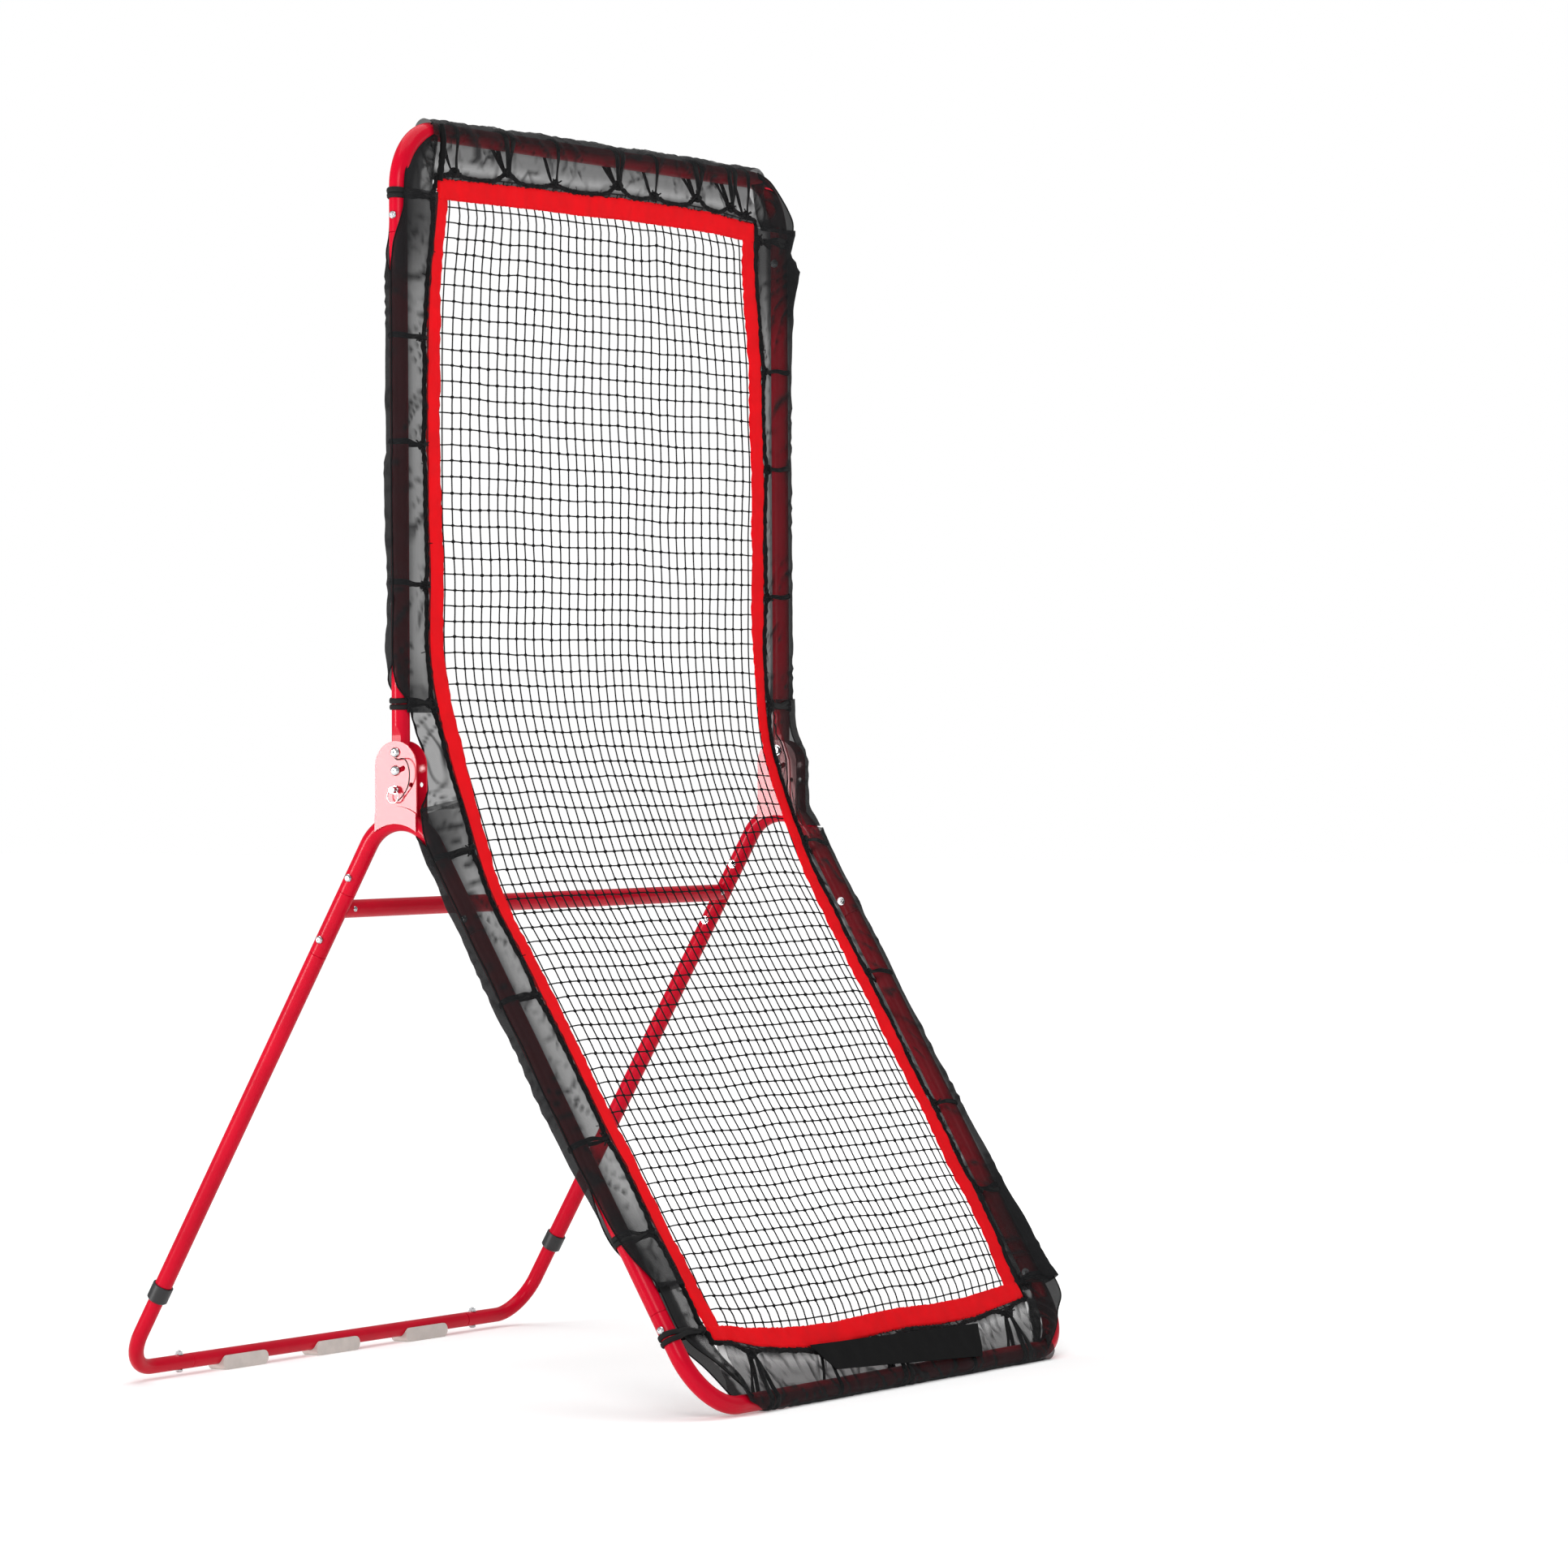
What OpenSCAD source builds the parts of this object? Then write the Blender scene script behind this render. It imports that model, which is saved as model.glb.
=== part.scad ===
// Pitch back rebounder: a steel A-frame with a net panel in two halves.
// The lower half leans down to the front foot, and the upper half stands
// on two pivots and tilts back until both halves lie in one plane.
// Millimetres, +Z up, the front faces -Y. The origin is on the ground,
// under the middle of the bounding box.

/* [Net frame] */
// Overall width over the side tubes
overall_w = 1219; // [1000:1:1400]
// Height of the tilt pivots above the ground
pivot_h = 1064; // [1000:1:1150]
// Height of the frame's top above the pivots
upper_h = 1038; // [900:1:1200]
// Outside diameter of the net frame, leg and cross tubes
tube_od = 30; // [28:0.5:31]
// Wall of every tube
tube_wall = 1.2; // [1:0.1:1.5]
// Centre-line radius of the net frame's corners
corner_r = 100; // [85:1:120]
// Reach of a corner piece from its corner to its joint
corner_arm = 172; // [165:1:230]
// Length of the swaged spigot inside each joint
spigot_l = 50; // [45:1:60]
// Distance of a joint's bolt from the joint
bolt_inset = 27; // [20:1:34]

/* [Stand] */
// Angle of the legs and of the lower net half from vertical
lean = 30; // [27:1:33]
// Centre-line radius of the bend under each hinge
arch_r = 75; // [70:1:85]
// Drop from the pivot to the centre-line of that bend
arch_drop = 114; // [110:1:124]
// Length of the bent tube's rear arm
rear_arm = 90; // [85:1:110]
// Length of the bent tube's front arm
front_arm = 165; // [150:1:200]
// Length of the coupler between the bent tube and the rear leg
coupler_l = 118; // [112:1:150]
// Place of the cross tube below the rear arm's joint
crossbar_inset = 31; // [28:1:34]
// Outside diameter of the rear foot tubes
foot_od = 26; // [24:0.5:26]
// Centre-line radius of the rear foot's corners
foot_r = 75; // [65:1:85]
// Reach of the rear foot's corner to its joint
foot_arm = 180; // [150:1:220]
// Length of the foot tube inside the leg
foot_insert = 70; // [40:1:90]
// Height of the leg's end along the leg above the rear foot
leg_clear = 147; // [135:1:170]
// Length of a rubber foot pad
pad_l = 130; // [100:1:160]
// Height of a foot pad
pad_h = 25; // [22:1:26]
// Depth of a foot pad from front to back
pad_w = 34; // [32:1:40]
// Rubber below the foot tube
pad_sole = 10; // [8:1:12]
// Distance between foot pads
pad_pitch = 273; // [200:1:300]

/* [Hinge] */
// Width of a hinge plate
plate_w = 82; // [78:1:90]
// Thickness of a hinge plate
plate_t = 3; // [2.5:0.1:3.5]
// Height of a plate's top above the pivot
plate_top = 18.6; // [16:0.1:22]
// Width of the upper tube's flattened end
flat_w = 25.2; // [24.5:0.1:25.5]
// Diameter of the pivot and guide bolts
hinge_bolt_d = 8; // [7:0.5:9]
// Radius of the guide bolt's circle
guide_r = 30; // [28:1:33]
// Radius of the lock pin's circle
lock_r = 61.5; // [58:0.5:64]
// Tilt from upright to the second lock hole
tilt_travel = 30; // [20:1:32]
// Diameter of the lock pin
pin_d = 8; // [7:0.5:8.5]
// Diameter of the pin's pull ring
ring_d = 24; // [20:1:28]

/* [Net] */
// Cord thickness in the net
net_cord = 3; // [2:0.5:4]
// Columns of meshes
net_cols = 12; // [6:1:12]
// Rows of meshes in each half
net_rows = 12; // [6:1:12]
// Distance of the net in front of the tube's centre
net_front = 12; // [10:1:16]
// Radius of the net's curve across the hinge
net_r = 1200; // [900:10:1400]
// Diameter of the rope round the net's edge
rope_d = 6; // [5:0.5:7]
// Distance from a side tube's centre to the edge rope
side_gap = 62; // [55:1:80]
// Distance from the top tube's centre to the edge rope
top_gap = 66; // [55:1:80]
// Distance from the bottom tube's centre to the edge rope
bottom_gap = 75; // [60:1:85]
// Width of the webbing border
webbing_w = 42; // [35:1:48]
// Thickness of one layer of webbing
webbing_t = 1.2; // [1:0.1:2]

/* [Elastics and sleeves] */
// Thickness of the elastic straps
elastic_t = 1.2; // [1:0.1:1.5]
// Width of the elastic straps
elastic_w = 10; // [8:1:14]
// Thickness of the sleeve cloth
cloth_t = 0.8; // [0.8:0.1:1.2]
// How far the loose cloth stands off between two straps
fold_h = 5; // [0:0.5:8]

/* [Hidden] */
// Clearances: still pieces, running fits and drilled holes
gap = 0.3;
run = 0.05;
// The shoulder that each swaged joint closes on
swage_l = 2;
joint_d = 6;
screw_d = 4;
screw_l = 7;
red = [0.72, 0.03, 0.08];
border_red = [0.86, 0.08, 0.09];
zinc = [0.78, 0.79, 0.8];
black = [0.08, 0.08, 0.085];
cloth = [0.16, 0.16, 0.17];
pad_grey = [0.72, 0.68, 0.66];
plate_red = [0.78, 0.08, 0.12];
fine = 96;
small = 32;
$fn = 64;

// Widths and heights of the centre-lines
half_w = (overall_w - tube_od)/2;
tube_r = tube_od/2;
top_z = pivot_h + upper_h - tube_r;
strap_r = tube_r + gap + elastic_t;
cloth_r = strap_r + gap;
arch_cz = pivot_h - arch_drop - arch_r;
tangent_y = arch_r*cos(lean);
tangent_z = arch_cz + arch_r*sin(lean);
// The cloth under the bottom tube is pressed flat by half a millimetre
press = 0.5;
arc_steps = 10;
belt_steps = 12;
rope_steps = 6;
slot_steps = 12;
cloth_pt_r = cloth_r/cos(12.5);
bottom_z = cloth_pt_r + cloth_t - press;
foot_z = pad_sole + foot_od/2;
leg_to_foot = (tangent_z - foot_z)/cos(lean);
leg_to_bottom = (tangent_z - bottom_z)/cos(lean);
leg_end = leg_to_foot - leg_clear;
coupler_end = rear_arm + coupler_l;
foot_y = tangent_y + leg_to_foot*sin(lean);
bottom_y = tangent_y + leg_to_bottom*sin(lean);
rear_reach = foot_y + pad_w/2;
front_reach = bottom_y + cloth_pt_r + cloth_t;
// The middle of the stand lies on the origin
stand_y = (front_reach - rear_reach)/2;

// Tubes
spigot_od = tube_od - 2*tube_wall - 2*gap;
flat_top = 28;
flat_run = 22;

// Hinge plates
plate_in = flat_w/2 + gap;
plate_out = plate_in + plate_t;
lap_in = tube_r + gap;
step_r = 75;
step_drop = arch_drop - 26;
lap_drop = arch_drop + 3;
lap_grip = 2;
head_d = 17;
head_h = 5.5;
nut_af = 13;
nut_h = 6.5;
joint_head_d = 13;
joint_head_h = 4.5;
joint_nut_af = 10;
joint_nut_h = 5;
bolt_tail = 2;
socket_d = 5;
socket_h = 2.5;
pin_head_d = 12;
pin_head_h = 13;
pin_tail = 9;
ring_t = 2;
eye_d = 4.6;
ring_lift = 0.9;
ring_x = plate_out + 8;

// Net: the two halves' planes meet at height meet_z, and a curve joins them
meet_y = net_front;
meet_up = (tangent_y + net_front/cos(lean) - net_front)/tan(lean);
meet_z = tangent_z + meet_up;
meet_leg = (tangent_y - meet_y)*sin(lean) + meet_up*cos(lean);
half_turn = lean/2;
bend_t = net_r*tan(half_turn);
half_split = 1.5;
split_a = bend_t - net_r*sin(half_turn) + half_split;
// Room in a strap's loop for the rope, which slopes where the net curves
strap_slack = 0.8;
net_t = 2;
top_a = top_z - top_gap - meet_z;
bottom_a = leg_to_bottom + meet_leg - bottom_gap;
side_x = half_w - side_gap;
webbing_gap = rope_d/2 + strap_slack + 2*gap + elastic_t;
rope_bend = rope_d;

// Sleeves
upper_cloth_a = 145;
lower_cloth_a = 140;
cloth_corner = 190;
lower_cloth_corner = 300;
cloth_inset = 95;
cloth_x = half_w - cloth_inset;
flap_u = plate_out + 6;
flap_lap = 12;
soft_gap = 0.3;
sleeve_tip = webbing_gap + 1;
webbing_lip = net_t/2 + gap + webbing_t + 2*soft_gap;
lip_grip = 8;
mesh_x = 2*side_x/net_cols;
end_strap_x = mesh_x/2 - side_x;
upper_straps = [0.1, 0.27, 0.5, 0.7, 0.95];
lower_straps = [0.1, 0.35, 0.6, 0.8, 0.95];
sections = 14;
end_sections = 16;

// The wire between the pivot bolt and the lock pin: [out, front, height]
// from the pivot, as round numbers
lanyard_d = 2;
lanyard_route = [
    [-17.2, 0, -9.8], [-19, 7, -12], [-22, 16, -10], [-24, 25, -12], [-25, 31, -20],
    [-25, 34, -32], [-24, 33, -44], [-22, 29, -55], [-20.5, 22, -65], [-20.5, 14, -74],
    [-21.6, 8, -79.4]
];

// ---------------------------------------------------------------- places

// Left side as drawn, right side mirrored. Inside, +X points at the net.
module on_side(s) {
    translate([0, stand_y, 0])
        if (s < 0)
            translate([-half_w, 0, 0]) children();
        else
            mirror([1, 0, 0]) translate([-half_w, 0, 0]) children();
}

// Both sides at once, for fasteners that share a node
module both_sides() {
    on_side(-1) children();
    on_side(1) children();
}

// Along the rear leg (s = 1) or the lower net half (s = -1): +Z runs down it
module on_leg(s, d) {
    translate([0, s*tangent_y, tangent_z])
        rotate([180 + s*lean, 0, 0])
            translate([0, 0, d])
                children();
}

// The YZ plane: drawn x becomes Y and drawn y becomes Z
module yz() {
    rotate([90, 0, 90]) children();
}

// The upper half, where Z counts from the line that the two planes share
module upper_plane() {
    translate([0, stand_y, meet_z]) children();
}

// The same for the lower half, folded over so that -Y stays the front
module lower_plane() {
    translate([0, stand_y, 0])
        on_leg(-1, -meet_leg)
            mirror([0, 1, 0])
                children();
}

module at_pivot() {
    translate([0, 0, pivot_h]) children();
}

// ------------------------------------------------------------ tube parts

// A straight tube along +Z. A swaged end carries a spigot for the next tube.
module swaged_tube(len, od, low_spigot = false, high_spigot = false) {
    ri = od/2 - tube_wall;
    ro = od/2;
    so = ro - tube_wall - gap;
    si = so - tube_wall;
    low = [[ri, 0], [ro, 0]];
    low_end = [[ri, 0], [si, -swage_l], [si, -swage_l - spigot_l], [so, -swage_l - spigot_l],
        [so, -swage_l], [ro, 0]];
    high = [[ro, len], [ri, len]];
    high_end = [[ro, len], [so, len + swage_l], [so, len + swage_l + spigot_l],
        [si, len + swage_l + spigot_l], [si, len + swage_l], [ri, len]];
    rotate_extrude()
        polygon(concat(low_spigot ? low_end : low, high_spigot ? high_end : high));
}

module plain_rod(len, d) {
    cylinder(h = len, d = d);
}

// A rod bent round one corner: up arm1 to the corner, then along arm2 in +X
module bent_rod(arm1, arm2, r, d) {
    translate([0, 0, -arm1]) plain_rod(arm1 - r, d);
    translate([r, 0, -r])
        rotate([90, 0, 0])
            rotate([0, 0, 90])
                rotate_extrude(angle = 90)
                    translate([r, 0]) circle(d = d);
    translate([r, 0, 0]) rotate([0, 90, 0]) plain_rod(arm2 - r, d);
}

module corner_tube(arm1, arm2, r, od) {
    difference() {
        bent_rod(arm1, arm2, r, od);
        bent_rod(arm1 + 1, arm2 + 1, r, od - 2*tube_wall);
    }
}

// A drilled hole across a tube along X, at height z
module cross_hole(z, d = joint_d + 2*gap) {
    translate([-tube_od, 0, z]) rotate([0, 90, 0]) cylinder(h = 2*tube_od, d = d, $fn = small);
}

// A stretch of tube along +Z, and a bend of tube from +X round to angle
module straight_tube(len, od) {
    rotate_extrude()
        translate([od/2 - tube_wall, 0]) square([tube_wall, len]);
}

module bent_tube(r, angle, od) {
    rotate_extrude(angle = angle)
        translate([r, 0])
            difference() {
                circle(d = od);
                circle(d = od - 2*tube_wall);
            }
}

// Half of the bent tube under a hinge, from the middle of its bend to the end
// of the rear arm. The front half is its mirror image.
module half_arch(arm) {
    intersection() {
        translate([0, 0, arch_cz])
            yz()
                rotate([0, 0, lean])
                    bent_tube(arch_r, 90, tube_od);
        translate([-tube_od, 0, arch_cz]) cube([2*tube_od, 2*arch_r, 2*arch_r]);
    }
    difference() {
        translate([0, 0, arch_cz])
            yz()
                rotate([0, 0, lean])
                    translate([arch_r, 0, 0])
                        rotate([90, 0, 0])
                            straight_tube(arm, tube_od);
        on_leg(1, 0) cross_hole(arm - bolt_inset);
    }
}

module hinge_arch() {
    half_arch(rear_arm);
    mirror([0, 1, 0]) half_arch(front_arm);
}

// ---------------------------------------------------------- hinge plates

// A slot of width d on the arc of radius r, from angle past straight down
module arc_slot(r, angle, d, h) {
    low = -90 - angle;
    linear_extrude(h)
        polygon([
            for (i = [0:slot_steps]) let (b = low + angle*i/slot_steps) (r + d/2)*[cos(b), sin(b)],
            for (i = [1:slot_steps - 1]) let (b = 180*i/slot_steps - 90) [d/2*cos(b), d/2*sin(b) - r],
            for (i = [0:slot_steps]) let (b = -90 - angle*i/slot_steps) (r - d/2)*[cos(b), sin(b)],
            for (i = [1:slot_steps - 1]) let (b = low + 180 + 180*i/slot_steps)
                r*[cos(low), sin(low)] + d/2*[cos(b), sin(b)]
        ]);
}

module plate_outline() {
    round_y = plate_top - plate_w/2;
    intersection() {
        translate([0, round_y]) circle(d = plate_w, $fn = fine);
        translate([-plate_w, round_y]) square([2*plate_w, plate_w]);
    }
    translate([-plate_w/2, -lap_drop - plate_w]) square([plate_w, round_y + lap_drop + plate_w]);
}

module above_step(r) {
    difference() {
        plate_outline();
        translate([0, -step_drop - step_r]) circle(r = r, $fn = fine);
        translate([-plate_w, -lap_drop - 2*plate_w]) square([2*plate_w, 2*plate_w - 10]);
    }
}

module below_step() {
    difference() {
        intersection() {
            plate_outline();
            translate([0, -step_drop - step_r]) circle(r = step_r, $fn = fine);
        }
        translate([0, -arch_drop - arch_r]) circle(r = arch_r + arch_drop - lap_drop, $fn = fine);
    }
}

// One plate, drawn for the face x = plate_in outward. The lower lap steps
// out to clear the bent tube.
module hinge_plate() {
    at_pivot()
        yz()
            difference() {
                union() {
                    translate([0, 0, plate_in]) linear_extrude(plate_t) above_step(step_r - lap_grip);
                    translate([0, 0, lap_in]) linear_extrude(plate_t) below_step();
                }
                translate([0, 0, 1]) {
                    cylinder(h = plate_out + 1, d = hinge_bolt_d + 2*run);
                    arc_slot(guide_r, tilt_travel, hinge_bolt_d + 2*gap, plate_out + 1);
                    for (a = [0, tilt_travel])
                        rotate([0, 0, -90 - a])
                            translate([lock_r, 0, 0])
                                cylinder(h = plate_out + 1, d = pin_d + 2*run);
                }
            }
}

module outer_plate(s) {
    color(plate_red) on_side(s) mirror([1, 0, 0]) hinge_plate();
}

module inner_plate(s) {
    color(plate_red) on_side(s) hinge_plate();
}

// ------------------------------------------------------------- rear legs

// Stub for the cross tube on the coupler, along +X
module crossbar_stub(d, extra) {
    translate([0, 0, crossbar_inset])
        rotate([0, 90, 0])
            plain_rod(tube_r + spigot_l + extra, d);
}

module leg_coupler() {
    on_leg(1, rear_arm + swage_l)
        difference() {
            union() {
                swaged_tube(coupler_l - swage_l, tube_od, low_spigot = true);
                difference() {
                    crossbar_stub(spigot_od, 0);
                    cylinder(h = coupler_l, d = tube_od - tube_wall);
                }
            }
            crossbar_stub(spigot_od - 2*tube_wall, 1);
            crossbar_screw_axis() cylinder(h = tube_od, d = screw_d + 2*gap, $fn = small);
            cross_hole(-swage_l - bolt_inset);
            cross_hole(coupler_l - swage_l - bolt_inset);
        }
}

module rear_leg() {
    on_leg(1, coupler_end + swage_l)
        difference() {
            swaged_tube(leg_end - coupler_end - swage_l, tube_od, low_spigot = true);
            cross_hole(-swage_l - bolt_inset);
        }
}

// Plastic bush between the leg's end and the foot tube
module leg_collar() {
    wall = 2.7;
    over = 24;
    lip = 7;
    chamfer = 3;
    ro = tube_r + gap + wall;
    on_leg(1, leg_end)
        rotate_extrude()
            polygon([
                [tube_r + gap, -over], [ro - 1, -over], [ro, -over + 1], [ro, lip - chamfer],
                [ro - chamfer, lip], [foot_od/2 + gap, lip], [foot_od/2 + gap, gap], [tube_r + gap, gap]
            ]);
}

module rear_foot_corner() {
    on_leg(1, leg_to_foot)
        corner_tube(leg_clear + foot_insert, foot_arm, foot_r, foot_od);
}

module foot_bolt_place() {
    translate([foot_arm - bolt_inset, foot_y, foot_z])
        children();
}

// The cross tube's ends are coped round the couplers
module crossbar_body() {
    bar_y = tangent_y + (rear_arm + swage_l + crossbar_inset)*sin(lean);
    bar_z = tangent_z - (rear_arm + swage_l + crossbar_inset)*cos(lean);
    difference() {
        translate([-half_w, stand_y + bar_y, bar_z])
            rotate([0, 90, 0])
                difference() {
                    plain_rod(2*half_w, tube_od);
                    translate([0, 0, -1]) plain_rod(2*half_w + 2, tube_od - 2*tube_wall);
                }
        both_sides()
            on_leg(1, rear_arm)
                plain_rod(coupler_l, tube_od + 2*gap);
        crossbar_screw_holes();
    }
}

// The screw that holds the cross tube on its stub comes in from the front
module crossbar_screw_axis() {
    translate([tube_r + 10, 0, crossbar_inset])
        rotate([-180 - lean, 0, 0])
            rotate([90, 0, 0])
                children();
}

module crossbar_screw_place() {
    both_sides()
        on_leg(1, rear_arm + swage_l)
            crossbar_screw_axis()
                children();
}

module crossbar_screw_holes() {
    crossbar_screw_place() cylinder(h = tube_od, d = screw_d + 2*gap, $fn = small);
}

// ------------------------------------------------------ lower net frame

module lower_side_tube() {
    start = front_arm + swage_l;
    len = leg_to_bottom - corner_arm - swage_l - start;
    on_leg(-1, start)
        difference() {
            swaged_tube(len, tube_od, low_spigot = true, high_spigot = true);
            cross_hole(-swage_l - bolt_inset);
            cross_hole(len + swage_l + bolt_inset);
        }
}

module frame_corner() {
    difference() {
        corner_tube(corner_arm, corner_arm, corner_r, tube_od);
        cross_hole(bolt_inset - corner_arm);
    }
}

module end_bar() {
    len = 2*(half_w - corner_arm - swage_l);
    translate([-len/2, 0, 0])
        rotate([0, 90, 0])
            swaged_tube(len, tube_od, low_spigot = true, high_spigot = true);
}

// ------------------------------------------------------ upper net frame

// Round above and pressed flat between the hinge plates below
module flattened_rod(inset) {
    r = tube_r - inset;
    w = flat_w/2 - inset;
    low = lock_r + tube_od;
    round_z = flat_top + flat_run;
    intersection() {
        translate([0, 0, -low]) cylinder(h = low + round_z, r = r);
        translate([0, tube_od, 0])
            rotate([90, 0, 0])
                linear_extrude(2*tube_od)
                    polygon([
                        [-w, -low - 1], [w, -low - 1], [w, flat_top], [r + 1, round_z],
                        [r + 1, round_z + 1], [-r - 1, round_z + 1], [-r - 1, round_z], [-w, flat_top]
                    ]);
    }
}

module flattened_end() {
    difference() {
        intersection() {
            flattened_rod(0);
            translate([-tube_od, 0, 0])
                yz()
                    linear_extrude(2*tube_od) {
                        translate([0, -lock_r]) circle(d = tube_od + 1, $fn = fine);
                        translate([-tube_od, -lock_r]) square([2*tube_od, lock_r + flat_top + flat_run + 1]);
                    }
        }
        flattened_rod(tube_wall);
    }
}

module upper_side_tube() {
    start = flat_top + flat_run;
    len = top_z - pivot_h - corner_arm - swage_l - start;
    at_pivot()
        difference() {
            union() {
                flattened_end();
                translate([0, 0, start])
                    swaged_tube(len, tube_od, high_spigot = true);
            }
            cross_hole(0, hinge_bolt_d + 2*run);
            cross_hole(-guide_r, hinge_bolt_d + 2*run);
            pin_notch();
            cross_hole(start + len + swage_l + bolt_inset);
        }
}

// The pin's seat, open to the rear so that the tube swings off the pin
module pin_notch() {
    translate([-tube_od, 0, 0])
        yz()
            rotate([0, 0, -90])
                union() {
                    rotate_extrude(angle = tilt_travel + 10)
                        translate([lock_r - pin_d/2 - gap, 0]) square([pin_d + 2*gap, 2*tube_od]);
                    translate([lock_r, 0, 0]) cylinder(h = 2*tube_od, d = pin_d + 2*gap);
                }
}

// ------------------------------------------------------------- fasteners

// A dome head bolt along +X: its head sits outside x = -seat
module bolt(d, seat, dome_d, dome_h) {
    rotate([0, 90, 0])
        difference() {
            union() {
                translate([0, 0, -seat]) cylinder(h = 2*seat + bolt_tail + joint_nut_h, d = d, $fn = small);
                translate([0, 0, -seat])
                    rotate_extrude($fn = small)
                        polygon([
                            [0, 0], [dome_d/2, 0], [dome_d/2, -dome_h*0.3], [dome_d*0.42, -dome_h*0.72],
                            [dome_d*0.24, -dome_h], [0, -dome_h]
                        ]);
            }
            translate([0, 0, -seat - dome_h - 1]) cylinder(h = socket_h + 1, d = socket_d, $fn = 6);
        }
}

// A flange nut along +X on the inner side, from x = seat
module nut(d, seat, af, h) {
    flange_h = 1.2;
    translate([seat, 0, 0])
        rotate([0, 90, 0])
            difference() {
                union() {
                    cylinder(h = flange_h, d = af*1.45, $fn = small);
                    cylinder(h = h, d = af/cos(30), $fn = 6);
                }
                translate([0, 0, -1]) cylinder(h = h + 2, d = d + 2*run, $fn = small);
            }
}

module joint_places() {
    on_leg(1, rear_arm - bolt_inset) children();
    on_leg(1, coupler_end - bolt_inset) children();
    on_leg(-1, front_arm - bolt_inset) children();
    on_leg(-1, leg_to_bottom - corner_arm + bolt_inset) children();
}

module joint_bolt() {
    bolt(joint_d, tube_r + run, joint_head_d, joint_head_h);
}

module joint_nut() {
    nut(joint_d, tube_r + run, joint_nut_af, joint_nut_h);
}

module foot_bolt() {
    rotate([0, -90, 0]) bolt(joint_d, foot_od/2 + run, joint_head_d, joint_head_h);
}

module foot_nut() {
    rotate([0, -90, 0]) nut(joint_d, foot_od/2 + run, joint_nut_af, joint_nut_h);
}

module hinge_bolt() {
    bolt(hinge_bolt_d, plate_out + run, head_d, head_h);
}

module hinge_nut() {
    nut(hinge_bolt_d, plate_out + run, nut_af, nut_h);
}

module lock_pin() {
    at_pivot()
        translate([0, 0, -lock_r])
            rotate([0, 90, 0])
                difference() {
                    rotate_extrude($fn = fine)
                        polygon([
                            [0, -plate_out - pin_head_h], [pin_head_d/2 - 1, -plate_out - pin_head_h],
                            [pin_head_d/2, -plate_out - pin_head_h + 1], [pin_head_d/2, -plate_out - 3],
                            [pin_head_d/2 + 1, -plate_out - 3], [pin_head_d/2 + 1, -plate_out - run],
                            [pin_d/2, -plate_out - run], [pin_d/2, plate_out + pin_tail - 2],
                            [pin_d/2 - 1.5, plate_out + pin_tail], [0, plate_out + pin_tail]
                        ]);
                    translate([0, pin_head_d, -ring_x])
                        rotate([90, 0, 0])
                            cylinder(h = 2*pin_head_d, d = eye_d, $fn = small);
                }
}

module pin_ring() {
    at_pivot()
        translate([-ring_x, 0, ring_lift - lock_r - (ring_d - ring_t)/2])
            yz()
                rotate_extrude()
                    translate([(ring_d - ring_t)/2, 0]) circle(d = ring_t, $fn = small);
}

// ------------------------------------------------------------------- net

// A layer of the net's curve, from v0 to v1 in front of its middle and from
// a0 along it. Drawn as [-forward, along].
module curved_layer(v0, v1, a0) {
    intersection() {
        translate([-net_front - net_r, bend_t])
            difference() {
                circle(r = net_r - v0, $fn = 720);
                circle(r = net_r - v1, $fn = 720);
            }
        translate([-4*net_front - 60, a0]) square([5*net_front + 60, bend_t - a0]);
    }
}

module net_layer(v0, v1, a0, a1) {
    translate([-net_front - v1, bend_t]) square([v1 - v0, a1 - bend_t]);
    curved_layer(v0, v1, a0);
}

// Half of the rope round a half's edge
module edge_rope(a1) {
    translate([0, -net_front, 0]) {
        translate([side_x, 0, bend_t]) cylinder(h = a1 - rope_bend - bend_t, d = rope_d, $fn = small);
        translate([side_x - rope_bend, 0, a1 - rope_bend])
            rotate([90, 0, 0])
                rotate_extrude(angle = 90)
                    translate([rope_bend, 0]) circle(d = rope_d, $fn = small);
        translate([0, 0, a1]) rotate([0, 90, 0]) cylinder(h = side_x - rope_bend, d = rope_d, $fn = small);
        intersection() {
            translate([side_x, -net_r, bend_t])
                mirror([0, 0, 1])
                    yz()
                        rotate_extrude(angle = 30, $fn = 720)
                            translate([net_r, 0]) circle(d = rope_d, $fn = small);
            translate([side_x - rope_d, -net_r, split_a]) cube([2*rope_d, 2*net_r, bend_t]);
        }
    }
}

// The meshes of one half as seen from the front: [x, along]
module mesh_grid(a0, a1, top) {
    pitch_a = (top - split_a)/net_rows;
    difference() {
        translate([-side_x, a0]) square([2*side_x, a1 - a0]);
        for (i = [0:net_cols - 1], j = [0:net_rows - 1])
            translate([-side_x + i*mesh_x + net_cord/2, split_a + j*pitch_a + net_cord/2])
                square([mesh_x - net_cord, pitch_a - net_cord]);
    }
}

// One half of the net with the rope round its edge. The curve across the
// hinge is cut from a bent sheet, and the rest is flat.
module half_net(a1) {
    translate([0, -net_front + net_t/2, 0])
        rotate([90, 0, 0])
            linear_extrude(net_t) mesh_grid(bend_t, a1, a1);
    intersection() {
        yz()
            translate([0, 0, -side_x])
                linear_extrude(2*side_x)
                    curved_layer(-net_t/2, net_t/2, split_a);
        rotate([90, 0, 0])
            linear_extrude(net_front + 60) mesh_grid(split_a, bend_t, a1);
    }
    edge_rope(a1);
    mirror([1, 0, 0]) edge_rope(a1);
}

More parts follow.
